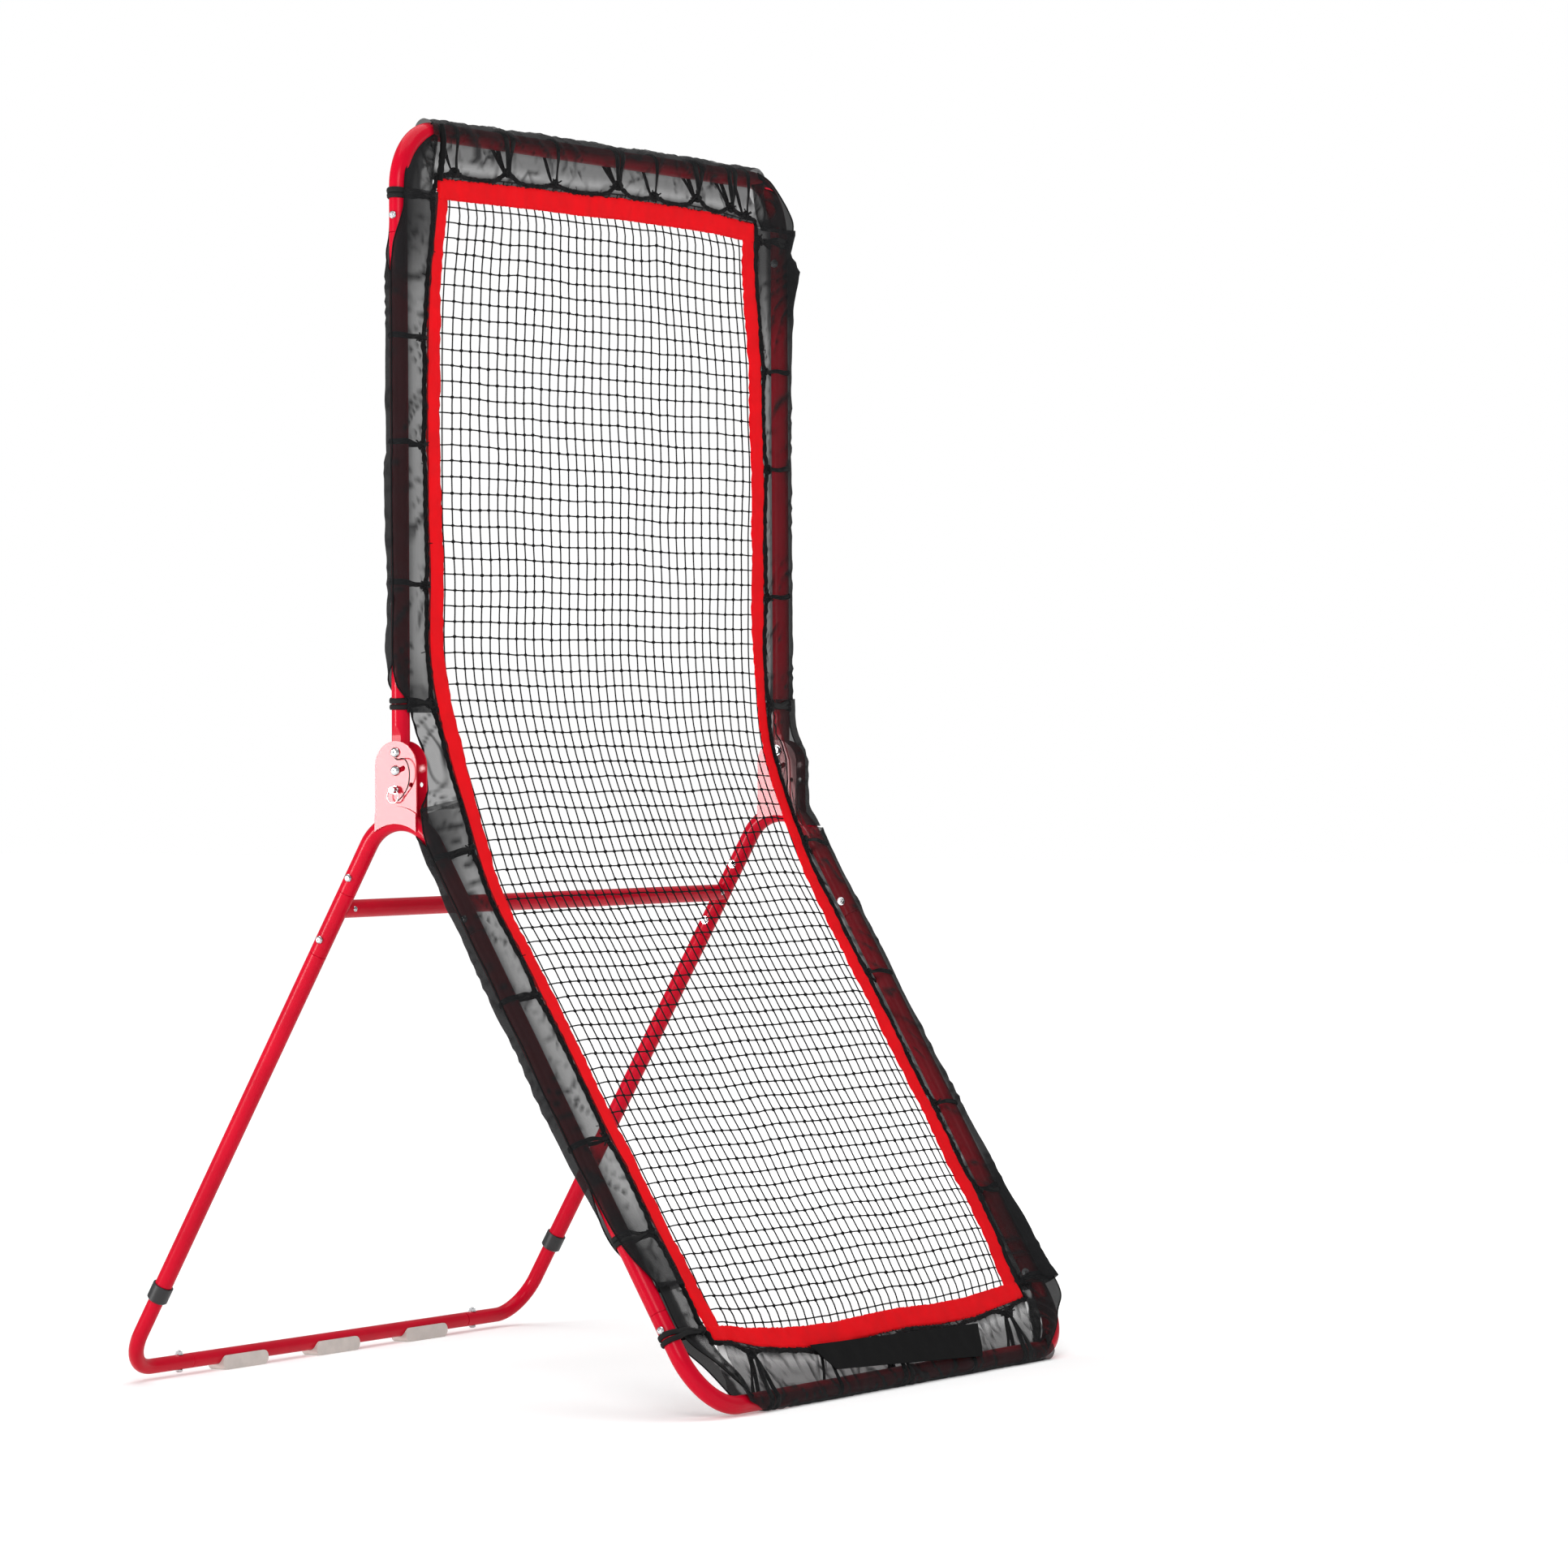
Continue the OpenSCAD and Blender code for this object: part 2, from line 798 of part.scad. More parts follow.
// Webbing: one layer in front of the net and one behind it
module webbing_layers(x0, w, a0, a1) {
    near = net_t/2 + gap;
    for (v = [near, -near - webbing_t])
        yz()
            translate([0, 0, x0])
                linear_extrude(w)
                    net_layer(v, v + webbing_t, a0, a1);
}

module side_webbing(s, a1) {
    x0 = side_x - webbing_gap - webbing_w;
    mirror([s < 0 ? 1 : 0, 0, 0])
        webbing_layers(x0, webbing_w, split_a, a1 - webbing_gap);
}

// The end strip runs between the side strips
module end_webbing(a1) {
    near = net_t/2 + gap;
    x1 = side_x - webbing_gap - webbing_w - gap;
    for (v = [near, -near - webbing_t])
        translate([-x1, -net_front - v - webbing_t, a1 - webbing_gap - webbing_w])
            cube([2*x1, webbing_t, webbing_w]);
}

// -------------------------------------------------- elastics and sleeves

// How far the net lies in front of the tube's centre, at a along a half
function net_v(a) = net_front + (a < bend_t ? net_r - sqrt(net_r*net_r - (bend_t - a)*(bend_t - a)) : 0);

// The outline of a belt round two rounds, r1 at the origin and r2 at [d, 0].
// Both arcs are drawn in straight steps that stay outside their rounds by grow.
module belt(r1, r2, d, grow) {
    t = acos((r1 - r2)/d);
    step1 = (360 - 2*t)/belt_steps;
    step2 = 2*t/rope_steps;
    g1 = grow ? r1/cos(step1/2) : r1;
    g2 = grow ? r2/cos(step2/2) : r2;
    polygon(concat(
        [for (i = [0:belt_steps]) g1*[cos(t + i*step1), sin(t + i*step1)]],
        [for (i = [0:rope_steps]) [d + g2*cos(i*step2 - t), g2*sin(i*step2 - t)]]
    ));
}

// A strap round the tube at the origin and the rope at [u, -v]
module elastic(u, v) {
    d = norm([u, v]);
    r1 = tube_r + gap;
    r2 = rope_d/2 + gap + strap_slack;
    rotate([0, 0, -atan2(v, u)])
        translate([0, 0, -elastic_w/2])
            linear_extrude(elastic_w)
                difference() {
                    belt(r1 + elastic_t, r2 + elastic_t, d, false);
                    belt(r1, r2, d, true);
                }
}

// Straps sit in the middle of a mesh: share is their place along the half
function strap_a(share, a1) = split_a + (floor(share*net_rows) + 0.5)*(a1 - split_a)/net_rows;

module side_elastics(shares, a1) {
    for (share = shares) {
        a = strap_a(share, a1);
        translate([0, 0, a]) elastic(side_gap, net_v(a));
    }
}

module end_elastics(u) {
    for (i = [0:2:net_cols - 1])
        translate([end_strap_x + i*mesh_x, 0, 0])
            rotate([0, 90, 0])
                elastic(u, net_front);
}

// One side of the cloth's section, drawn open towards the net: from the front
// lip on the webbing, over the rope, round the tube and back to the rear lip
function cloth_path(z, u, v, r, extra) =
    let (
        tip = sleeve_tip + extra,
        lip = webbing_lip + extra,
        lip_u = u + webbing_gap + lip_grip,
        rope_u = u + 1,
        front = [rope_u, -v - tip],
        back = [rope_u, tip - v],
        b0 = atan2(front[1], front[0]) - acos((r + extra)/norm(front)),
        b1 = atan2(back[1], back[0]) + acos((r + extra)/norm(back)) - 360
    )
    concat(
        [[lip_u, -v - lip, z], [front[0], front[1], z]],
        [for (i = [0:arc_steps])
            let (b = b0 + (b1 - b0)*i/arc_steps) [(r + extra)*cos(b), (r + extra)*sin(b), z]],
        [[back[0], back[1], z], [lip_u, lip - v, z]]
    );

// Loose cloth swells between straps: 0 at a strap, 1 halfway to the next
function swell(z, z0, pitch) = 0.5 - 0.5*cos(360*(z - z0)/pitch);
function side_swell(a, straps) =
    let (
        k = max([0, for (i = [0:len(straps) - 2]) if (straps[i] <= a) i]),
        pitch = straps[k + 1] - straps[k]
    )
    swell(a, straps[k], pitch);

// A cloth sleeve along stations of [place, u, v, radius]. Its inner and outer
// faces are cut into triangles alike, so that the cloth keeps its thickness.
module sleeve_shell(stations) {
    m = arc_steps + 5;
    n = 2*m;
    last = len(stations) - 1;
    rings = [for (s = stations)
        let (
            outer = cloth_path(s[0], s[1], s[2], s[3], cloth_t),
            inner = cloth_path(s[0], s[1], s[2], s[3], 0)
        )
        concat(outer, [for (j = [m - 1:-1:0]) inner[j]])];
    sides = [for (k = [0:last - 1], j = [0:n - 1])
        let (a = k*n + j, b = k*n + (j + 1) % n)
        each j < m ? [[a, b + n, a + n], [a, b, b + n]] : [[a, b, a + n], [b, b + n, a + n]]];
    ends = [for (j = [0:m - 2])
        let (a = j, b = j + 1, c = n - 2 - j, d = n - 1 - j, e = last*n)
        each [[a, c, b], [a, d, c], [e + a, e + b, e + c], [e + a, e + c, e + d]]];
    polyhedron(points = [for (r = rings) each r], faces = concat(sides, ends));
}

// A thin strip of cloth that follows the net past the hinge
module hinge_flap(a1) {
    steps = 6;
    t = 1.4;
    u1 = side_gap - rope_d/2 - soft_gap;
    rings = [for (i = [0:steps])
        let (a = split_a + (a1 - split_a)*i/steps, v = net_v(a), y0 = -v*flap_u/side_gap, y1 = -v*u1/side_gap)
        [[flap_u, y0, a], [u1, y1 - t/2, a], [u1, y1 + t/2, a], [flap_u, y0 + t, a]]];
    polyhedron(
        points = [for (r = rings) each r],
        faces = concat(
            [for (k = [0:steps - 1], j = [0:3])
                let (p = 4*k + j, q = 4*k + (j + 1) % 4)
                each [[p, p + 4, q + 4], [p, q + 4, q]]],
            [[0, 1, 2], [0, 2, 3]],
            [[4*steps, 4*steps + 2, 4*steps + 1], [4*steps, 4*steps + 3, 4*steps + 2]]
        )
    );
}

module side_sleeve(a0, a1, straps) {
    stations = [for (i = [0:sections - 1])
        let (a = a0 + (a1 - a0)*i/(sections - 1))
        [a, side_gap, net_v(a), cloth_pt_r + fold_h*side_swell(a, straps)]];
    sleeve_shell(stations);
    hinge_flap(a0 + flap_lap);
}

// The corner of a sleeve is a gusset that spans from the side to the end tube
module corner_gusset(end_gap, corner_cloth) {
    t = 1.2;
    lap = 2;
    reach = 24;
    cut_low = corner_r - 38;
    cut_high = corner_r - 25;
    far = cloth_inset + lap + 1;
    rope_edge = rope_d/2 + soft_gap;
    translate([0, t/2 - net_front, 0])
        rotate([90, 0, 0])
            linear_extrude(t)
                polygon([
                    [reach, -corner_cloth - lap], [reach, -cut_low], [cut_high, -reach], [far, 2*lap - reach],
                    [far, rope_edge - end_gap], [side_gap - rope_edge, rope_edge - end_gap],
                    [side_gap - rope_edge, -corner_cloth - lap]
                ]);
}

module end_sleeve(u, folded) {
    stations = [for (i = [0:end_sections - 1])
        let (x = -cloth_x + 2*cloth_x*i/(end_sections - 1))
        [x, u, net_front, cloth_pt_r + folded*swell(x, end_strap_x, 2*mesh_x)]];
    rotate([0, 90, 0]) sleeve_shell(stations);
}

// ---------------------------------------------------------------- cables

function unit(v) = v/norm(v);
function tangent(p, i) = unit(p[min(i + 1, len(p) - 1)] - p[max(i - 1, 0)]);

// A wire with eight sides along the points
module wire(p, d) {
    n = 8;
    last = len(p) - 1;
    rings = [for (i = [0:last])
        let (t = tangent(p, i), side = unit(cross(t, [1, 0, 0.01])), up = cross(side, t))
        [for (j = [0:n - 1]) p[i] + d/2*(cos(360*j/n)*side + sin(360*j/n)*up)]];
    polyhedron(
        points = [for (r = rings) each r],
        faces = concat(
            [for (k = [0:last - 1], j = [0:n - 1])
                let (a = k*n + j, b = k*n + (j + 1) % n)
                each [[a, b + n, a + n], [a, b, b + n]]],
            [[for (j = [n - 1:-1:0]) j]],
            [[for (j = [0:n - 1]) last*n + j]]
        )
    );
}

module lanyard() {
    at_pivot() wire([for (p = lanyard_route) [p[0], -p[1], p[2]]], lanyard_d);
}

// ----------------------------------------------------------------- nodes

module left_hinge_arch() { color(red) on_side(-1) hinge_arch(); }
module right_hinge_arch() { color(red) on_side(1) hinge_arch(); }
module left_outer_hinge_plate() { outer_plate(-1); }
module left_inner_hinge_plate() { inner_plate(-1); }
module right_outer_hinge_plate() { outer_plate(1); }
module right_inner_hinge_plate() { inner_plate(1); }
module left_leg_coupler() { color(red) on_side(-1) leg_coupler(); }
module right_leg_coupler() { color(red) on_side(1) leg_coupler(); }
module crossbar() { color(red) crossbar_body(); }
module crossbar_screws() {
    color(zinc)
        crossbar_screw_place() {
            translate([0, 0, tube_r - screw_l]) cylinder(h = screw_l + 1, d = screw_d, $fn = small);
            translate([0, 0, tube_r + run])
                rotate_extrude($fn = small)
                    polygon([[0, 0], [4.5, 0], [4.2, 1.2], [2.8, 2.3], [0, 2.6]]);
        }
}
module left_rear_leg() { color(red) on_side(-1) rear_leg(); }
module right_rear_leg() { color(red) on_side(1) rear_leg(); }
module left_leg_collar() { color(black) on_side(-1) leg_collar(); }
module right_leg_collar() { color(black) on_side(1) leg_collar(); }
module foot_corner(s) {
    color(red)
        on_side(s)
            difference() {
                rear_foot_corner();
                foot_bolt_place()
                    translate([0, 0, -foot_od])
                        cylinder(h = 2*foot_od, d = joint_d + 2*gap, $fn = small);
            }
}
module left_rear_foot_corner() { foot_corner(-1); }
module right_rear_foot_corner() { foot_corner(1); }
module rear_foot_bar() {
    len = 2*(half_w - foot_arm - swage_l);
    color(red)
        difference() {
            translate([-len/2, stand_y + foot_y, foot_z])
                rotate([0, 90, 0])
                    swaged_tube(len, foot_od, low_spigot = true, high_spigot = true);
            both_sides()
                foot_bolt_place()
                    translate([0, 0, -foot_od]) cylinder(h = 2*foot_od, d = joint_d + 2*gap, $fn = small);
        }
}
module rear_foot_pads() {
    color(pad_grey)
        for (i = [-1:1])
            translate([i*pad_pitch, stand_y + foot_y, 0])
                difference() {
                    translate([0, pad_w/2, 0])
                        rotate([90, 0, 0])
                            linear_extrude(pad_w) {
                                for (x = [-1, 1])
                                    translate([x*(pad_l - pad_h)/2, pad_h/2]) circle(d = pad_h);
                                translate([-(pad_l - pad_h)/2, 0]) square([pad_l - pad_h, pad_h]);
                            }
                    translate([-pad_l, 0, foot_z])
                        rotate([0, 90, 0])
                            cylinder(h = 2*pad_l, d = foot_od + 2*gap);
                }
}
module left_lower_side_tube() { color(red) on_side(-1) lower_side_tube(); }
module right_lower_side_tube() { color(red) on_side(1) lower_side_tube(); }
module left_bottom_corner() { color(red) on_side(-1) on_leg(-1, leg_to_bottom) frame_corner(); }
module right_bottom_corner() { color(red) on_side(1) on_leg(-1, leg_to_bottom) frame_corner(); }
module bottom_bar() { color(red) translate([0, stand_y, 0]) on_leg(-1, leg_to_bottom) end_bar(); }
module frame_bolts() { color(zinc) both_sides() joint_places() joint_bolt(); }
module frame_nuts() { color(zinc) both_sides() joint_places() joint_nut(); }
module foot_bolts() { color(zinc) both_sides() foot_bolt_place() foot_bolt(); }
module foot_nuts() { color(zinc) both_sides() foot_bolt_place() foot_nut(); }
module pivot_bolts() { color(zinc) both_sides() at_pivot() hinge_bolt(); }
module pivot_nuts() { color(zinc) both_sides() at_pivot() hinge_nut(); }
module lower_side_sleeve(s) {
    a1 = leg_to_bottom + meet_leg - lower_cloth_corner;
    color(cloth)
        lower_plane()
            mirror([s > 0 ? 1 : 0, 0, 0])
                translate([-half_w, 0, 0])
                    side_sleeve(lower_cloth_a, a1, [for (s = lower_straps) strap_a(s, bottom_a)]);
}
module left_lower_sleeve() { lower_side_sleeve(-1); }
module right_lower_sleeve() { lower_side_sleeve(1); }
module bottom_sleeve() {
    color(cloth)
        difference() {
            lower_plane()
                translate([0, 0, leg_to_bottom + meet_leg]) {
                    end_sleeve(bottom_gap, 0);
                    for (x = [0, 1])
                        mirror([x, 0, 0])
                            translate([-half_w, 0, 0])
                                corner_gusset(bottom_gap, lower_cloth_corner);
                }
            translate([-half_w, stand_y - bottom_y - tube_od, -tube_od])
                cube([2*half_w, 2*tube_od, tube_od]);
        }
}
module lower_net() { color(black) lower_plane() half_net(bottom_a); }
module left_lower_webbing() { color(border_red) lower_plane() side_webbing(-1, bottom_a); }
module right_lower_webbing() { color(border_red) lower_plane() side_webbing(1, bottom_a); }
module bottom_webbing() { color(border_red) lower_plane() end_webbing(bottom_a); }
module lower_elastics() {
    color(black)
        lower_plane() {
            for (x = [0, 1])
                mirror([x, 0, 0])
                    translate([-half_w, 0, 0])
                        side_elastics(lower_straps, bottom_a);
            translate([0, 0, leg_to_bottom + meet_leg]) end_elastics(bottom_gap);
        }
}
module left_upper_side_tube() { color(red) on_side(-1) upper_side_tube(); }
module right_upper_side_tube() { color(red) on_side(1) upper_side_tube(); }
module left_top_corner() { color(red) on_side(-1) translate([0, 0, top_z]) frame_corner(); }
module right_top_corner() { color(red) on_side(1) translate([0, 0, top_z]) frame_corner(); }
module top_bar() { color(red) translate([0, stand_y, top_z]) end_bar(); }
module guide_bolts() { color(zinc) both_sides() at_pivot() translate([0, 0, -guide_r]) hinge_bolt(); }
module guide_nuts() { color(zinc) both_sides() at_pivot() translate([0, 0, -guide_r]) hinge_nut(); }
module upper_frame_bolts() {
    color(zinc) both_sides() translate([0, 0, top_z - corner_arm + bolt_inset]) joint_bolt();
}
module upper_frame_nuts() {
    color(zinc) both_sides() translate([0, 0, top_z - corner_arm + bolt_inset]) joint_nut();
}
module upper_side_sleeve(s) {
    a1 = top_z - meet_z - cloth_corner;
    color(cloth)
        upper_plane()
            mirror([s > 0 ? 1 : 0, 0, 0])
                translate([-half_w, 0, 0])
                    side_sleeve(upper_cloth_a, a1, [for (s = upper_straps) strap_a(s, top_a)]);
}
module left_upper_sleeve() { upper_side_sleeve(-1); }
module right_upper_sleeve() { upper_side_sleeve(1); }
module top_sleeve() {
    color(cloth)
        upper_plane()
            translate([0, 0, top_z - meet_z]) {
                end_sleeve(top_gap, fold_h);
                for (x = [0, 1])
                    mirror([x, 0, 0])
                        translate([-half_w, 0, 0])
                            corner_gusset(top_gap, cloth_corner);
            }
}
module upper_net() { color(black) upper_plane() half_net(top_a); }
module left_upper_webbing() { color(border_red) upper_plane() side_webbing(-1, top_a); }
module right_upper_webbing() { color(border_red) upper_plane() side_webbing(1, top_a); }
module top_webbing() { color(border_red) upper_plane() end_webbing(top_a); }
module upper_elastics() {
    color(black)
        upper_plane() {
            for (x = [0, 1])
                mirror([x, 0, 0])
                    translate([-half_w, 0, 0])
                        side_elastics(upper_straps, top_a);
            translate([0, 0, top_z - meet_z]) end_elastics(top_gap);
        }
}
module left_lock_pin() { color(zinc) on_side(-1) lock_pin(); }
module right_lock_pin() { color(zinc) on_side(1) lock_pin(); }
module left_pin_ring() { color(zinc) on_side(-1) pin_ring(); }
module right_pin_ring() { color(zinc) on_side(1) pin_ring(); }
module left_lanyard() { color(black) on_side(-1) lanyard(); }
module right_lanyard() { color(black) on_side(1) lanyard(); }

left_hinge_arch();
right_hinge_arch();
left_outer_hinge_plate();
left_inner_hinge_plate();
right_outer_hinge_plate();
right_inner_hinge_plate();
left_leg_coupler();
right_leg_coupler();
crossbar();
crossbar_screws();
left_rear_leg();
right_rear_leg();
left_leg_collar();
right_leg_collar();
left_rear_foot_corner();
right_rear_foot_corner();
rear_foot_bar();
rear_foot_pads();
left_lower_side_tube();
right_lower_side_tube();
left_bottom_corner();
right_bottom_corner();
bottom_bar();
frame_bolts();
frame_nuts();
foot_bolts();
foot_nuts();
pivot_bolts();
pivot_nuts();
left_lower_sleeve();
right_lower_sleeve();
bottom_sleeve();
lower_net();
left_lower_webbing();
right_lower_webbing();
bottom_webbing();
lower_elastics();
left_upper_side_tube();
right_upper_side_tube();
left_top_corner();
right_top_corner();
top_bar();
guide_bolts();
guide_nuts();
upper_frame_bolts();
upper_frame_nuts();
left_upper_sleeve();
right_upper_sleeve();
top_sleeve();
upper_net();
left_upper_webbing();
right_upper_webbing();
top_webbing();
upper_elastics();
left_lock_pin();
right_lock_pin();
left_pin_ring();
right_pin_ring();
left_lanyard();
right_lanyard();
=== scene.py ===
import math

import bmesh
import bpy
import numpy as np
from mathutils import Matrix, Vector, noise


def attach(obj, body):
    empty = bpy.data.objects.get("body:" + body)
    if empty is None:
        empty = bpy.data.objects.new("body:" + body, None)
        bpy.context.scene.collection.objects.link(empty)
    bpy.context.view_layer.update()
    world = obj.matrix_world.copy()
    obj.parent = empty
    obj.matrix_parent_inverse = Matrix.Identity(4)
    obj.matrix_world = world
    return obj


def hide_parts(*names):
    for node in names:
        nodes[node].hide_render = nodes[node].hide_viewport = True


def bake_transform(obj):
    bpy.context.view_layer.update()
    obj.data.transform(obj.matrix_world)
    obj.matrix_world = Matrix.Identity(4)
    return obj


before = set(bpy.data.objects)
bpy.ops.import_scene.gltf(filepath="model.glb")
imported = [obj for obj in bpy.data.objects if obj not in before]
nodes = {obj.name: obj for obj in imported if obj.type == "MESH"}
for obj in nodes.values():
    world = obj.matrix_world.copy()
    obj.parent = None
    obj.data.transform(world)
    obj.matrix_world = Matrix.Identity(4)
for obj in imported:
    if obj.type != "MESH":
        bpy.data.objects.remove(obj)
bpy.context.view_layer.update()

# ------------------------------------------------------------------ sizes
# The same values as in part.scad, in metres. "a" is a length along a half from
# where the halves meet, "u" a length inwards from a tube's centre, "v" a length
# in front of a half's plane, and "s" a length up the net from its middle.
STAND_Y, MEET_Z = 0.002089, 1.02822  # where the upper half starts
LOW_Y, LOW_Z = 0.000483, 1.02222  # where the lower half starts
HALF_W = 0.5945  # from the middle to a side tube's centre
TOP_BAR, LOW_BAR = 1.05878, 1.16014  # the end tubes' centres, as a
TURN = math.radians(30)  # between the halves
COS, SIN = math.cos(TURN), 0.5
BEND, NET_R = 0.321539, 1.2  # where the net starts to curve, as a, and its radius there
FRONT = 0.012  # from a half's plane to the net
ARC = NET_R * TURN / 2
TOP_S, LOW_S = ARC + 0.992785 - BEND, -(ARC + 1.08514 - BEND)  # the net's ends
SIDE_GAP = 0.062  # from a side tube's centre to the edge cord
WEB_GAP, WEB_W, WEB_T = 0.0056, 0.042, 0.0034  # edge cord to webbing, and its width and thickness
PIVOT_Z = 1.064  # the hinge's pivot
SIDES = ((-1, "left"), (1, "right"))
FLOOR_GAP = 0.0005  # no piece that is made here comes closer to the floor
TINY = 1e-12


def pts(x, y, z):
    return np.stack(np.broadcast_arrays(x, y, z), -1).astype(float)


def half(low, x, a, v):
    """Points on one half's plane."""
    x, a, v = np.broadcast_arrays(np.asarray(x, float), a, v)
    if low:
        return pts(x, LOW_Y - SIN * a - COS * v, LOW_Z - COS * a + SIN * v)
    return pts(x, STAND_Y - v, MEET_Z + a)


def net_v(a):
    """How far in front of a half's plane the net lies."""
    a = np.asarray(a, float)
    d = np.clip(BEND - a, 0, None)
    return FRONT + NET_R - np.sqrt(NET_R**2 - d**2)


def s_of(a):
    """Where a length along the upper half lies on the net; the lower half's is its negative."""
    a = np.asarray(a, float)
    return ARC + np.where(a > BEND, a - BEND, -NET_R * np.arcsin(np.clip(BEND - a, 0, None) / NET_R))


def a_of(s):
    """Where a place on the net, past its curve, lies along its half."""
    return BEND + np.abs(s) - ARC


def net(x, s, n=0.0):
    """Points on the net, n in front of it."""
    x, s, n = np.broadcast_arrays(np.asarray(x, float), s, n)
    th = np.clip((ARC - s) / NET_R, 0, TURN)
    up, dn = np.clip(s - ARC, 0, None), np.clip(-ARC - s, 0, None)
    y = STAND_Y - FRONT - NET_R + (NET_R - n) * np.cos(th) - SIN * dn
    z = MEET_Z + BEND - (NET_R - n) * np.sin(th) + up - COS * dn
    return pts(x, y, z)


def net_normal(s):
    th = np.clip((ARC - np.asarray(s, float)) / NET_R, 0, TURN)
    return pts(0 * th, -np.cos(th), np.sin(th))


# How much further in than SIDE_GAP the edge cord runs on the left (-1) and the
# right (1), in mm, by s
SIDE_IN = {
    -1: ([-1.06, -1.01, -0.97, -0.88, -0.79, -0.7, -0.52, -0.43, -0.34, -0.25, -0.16, -0.08, -0.01, 0.06,
          0.13, 0.2, 0.33, 0.46, 0.6, 0.7, 0.8, 0.865, 0.92, 0.955, 1.0],
         [30, 26, 18, 20, 17, 14, 11, 12, 9, 0, 2, 7, 5, -8, -12, -11, 0, -8, -6, -7, 3, 11, 21, 29, 33]),
    1: ([-1.06, -1.03, -0.965, -0.9, -0.64, -0.58, -0.25, -0.167, -0.089, -0.013, 0.062, 0.136, 0.209, 0.268,
         0.5, 0.7, 0.82, 0.863, 0.907, 0.95, 1.0],
        [26, 21, 11, 6, 10, 8, 14, 26, 30, 37, 41, 30, 19, 11, 8, 15, 26, 35, 38, 40, 40]),
}
# The side webbing's width as a share of WEB_W, by s
WEB_SHARE = {
    -1: ([-1.06, -0.8, -0.5, -0.16, 0.05, 0.2, 0.6, 0.75, 0.85, 1.0],
         [0.88, 0.86, 0.84, 0.86, 1.1, 1.0, 0.9, 0.86, 0.74, 0.74]),
    1: ([-1.06, -0.6, -0.25, -0.17, -0.09, -0.01, 0.06, 0.14, 0.21, 0.27, 0.5, 0.8, 1.0],
        [1.0, 0.92, 0.88, 0.68, 0.76, 0.68, 0.62, 0.68, 0.8, 0.95, 0.95, 1.0, 0.9]),
}
# How far the elastics draw the net's ends up, in mm, by x
END_UP = {
    "upper": ([-0.5, -0.43, -0.36, -0.2, -0.06, 0.04, 0.25, 0.35, 0.44, 0.5],
              [-6, -5, -3, 0, 0, 4, 3, 1, -7, -10]),
    "lower": ([-0.5, -0.45, -0.39, -0.32, -0.23, -0.13, -0.02, 0.09, 0.2, 0.31, 0.44, 0.5],
              [30, 24, 8, -3, -12, -15, -9, -5, -10, -7, 8, 14]),
}


def warp(x, s):
    """The s of a place on the net once the elastics have drawn its ends, which fades within reach."""
    reach = 0.09
    up = 0.001 * np.interp(x, *END_UP["upper"]) * np.exp(-np.clip(TOP_S - s, 0, None) / reach)
    low = 0.001 * np.interp(x, *END_UP["lower"]) * np.exp(-np.clip(s - LOW_S, 0, None) / reach)
    return s + up + low


def inset(side, s):
    """From a side tube's centre to the edge cord."""
    t = np.linspace(-1.1, 1.0, 106)
    xs, ys = SIDE_IN[side]
    y = np.interp(t, xs, ys)
    y = np.convolve(np.pad(y, 2, mode="edge"), np.ones(5) / 5, "valid")
    return SIDE_GAP + 0.001 * np.interp(s, t, y) + 0.0012 * np.sin(np.asarray(s) * 31 + side)


# ------------------------------------------------------------- mesh making
def make(name, verts, faces, mat, uv=None, smooth=True):
    """A mesh from vertices, arrays of faces and per-vertex UVs in metres."""
    me = bpy.data.meshes.new(name)
    sizes = np.concatenate([np.full(len(f), f.shape[1]) for f in faces])
    corner_of = np.concatenate([f.ravel() for f in faces]).astype(np.int32)
    me.vertices.add(len(verts))
    me.vertices.foreach_set("co", np.ascontiguousarray(verts, np.float32).ravel())
    me.loops.add(len(corner_of))
    me.loops.foreach_set("vertex_index", corner_of)
    me.polygons.add(len(sizes))
    me.polygons.foreach_set("loop_start", np.concatenate([[0], np.cumsum(sizes)[:-1]]).astype(np.int32))
    if uv is not None:
        layer = me.uv_layers.new(name="UVMap")
        layer.data.foreach_set("uv", np.asarray(uv, np.float32)[corner_of].ravel())
    me.update(calc_edges=True)
    me.validate()
    if smooth:
        me.shade_smooth()
    me.materials.append(mat)
    o = bpy.data.objects.new(name, me)
    bpy.context.scene.collection.objects.link(o)
    return o


def grid_faces(rows, cols, close, base):
    """The quads of a grid, closed across if close is true."""
    r, c = np.meshgrid(np.arange(rows - 1), np.arange(cols if close else cols - 1), indexing="ij")
    a = r * cols + c
    b = r * cols + (c + 1) % cols
    return base + np.stack([a, b, b + cols, a + cols], -1).reshape(-1, 4)


def arc_lengths(p, axis=0):
    """How far along a line, or along each line of a grid, its points lie."""
    return np.insert(np.cumsum(np.linalg.norm(np.diff(p, axis=axis), axis=-1), axis=axis), 0, 0, axis=axis)


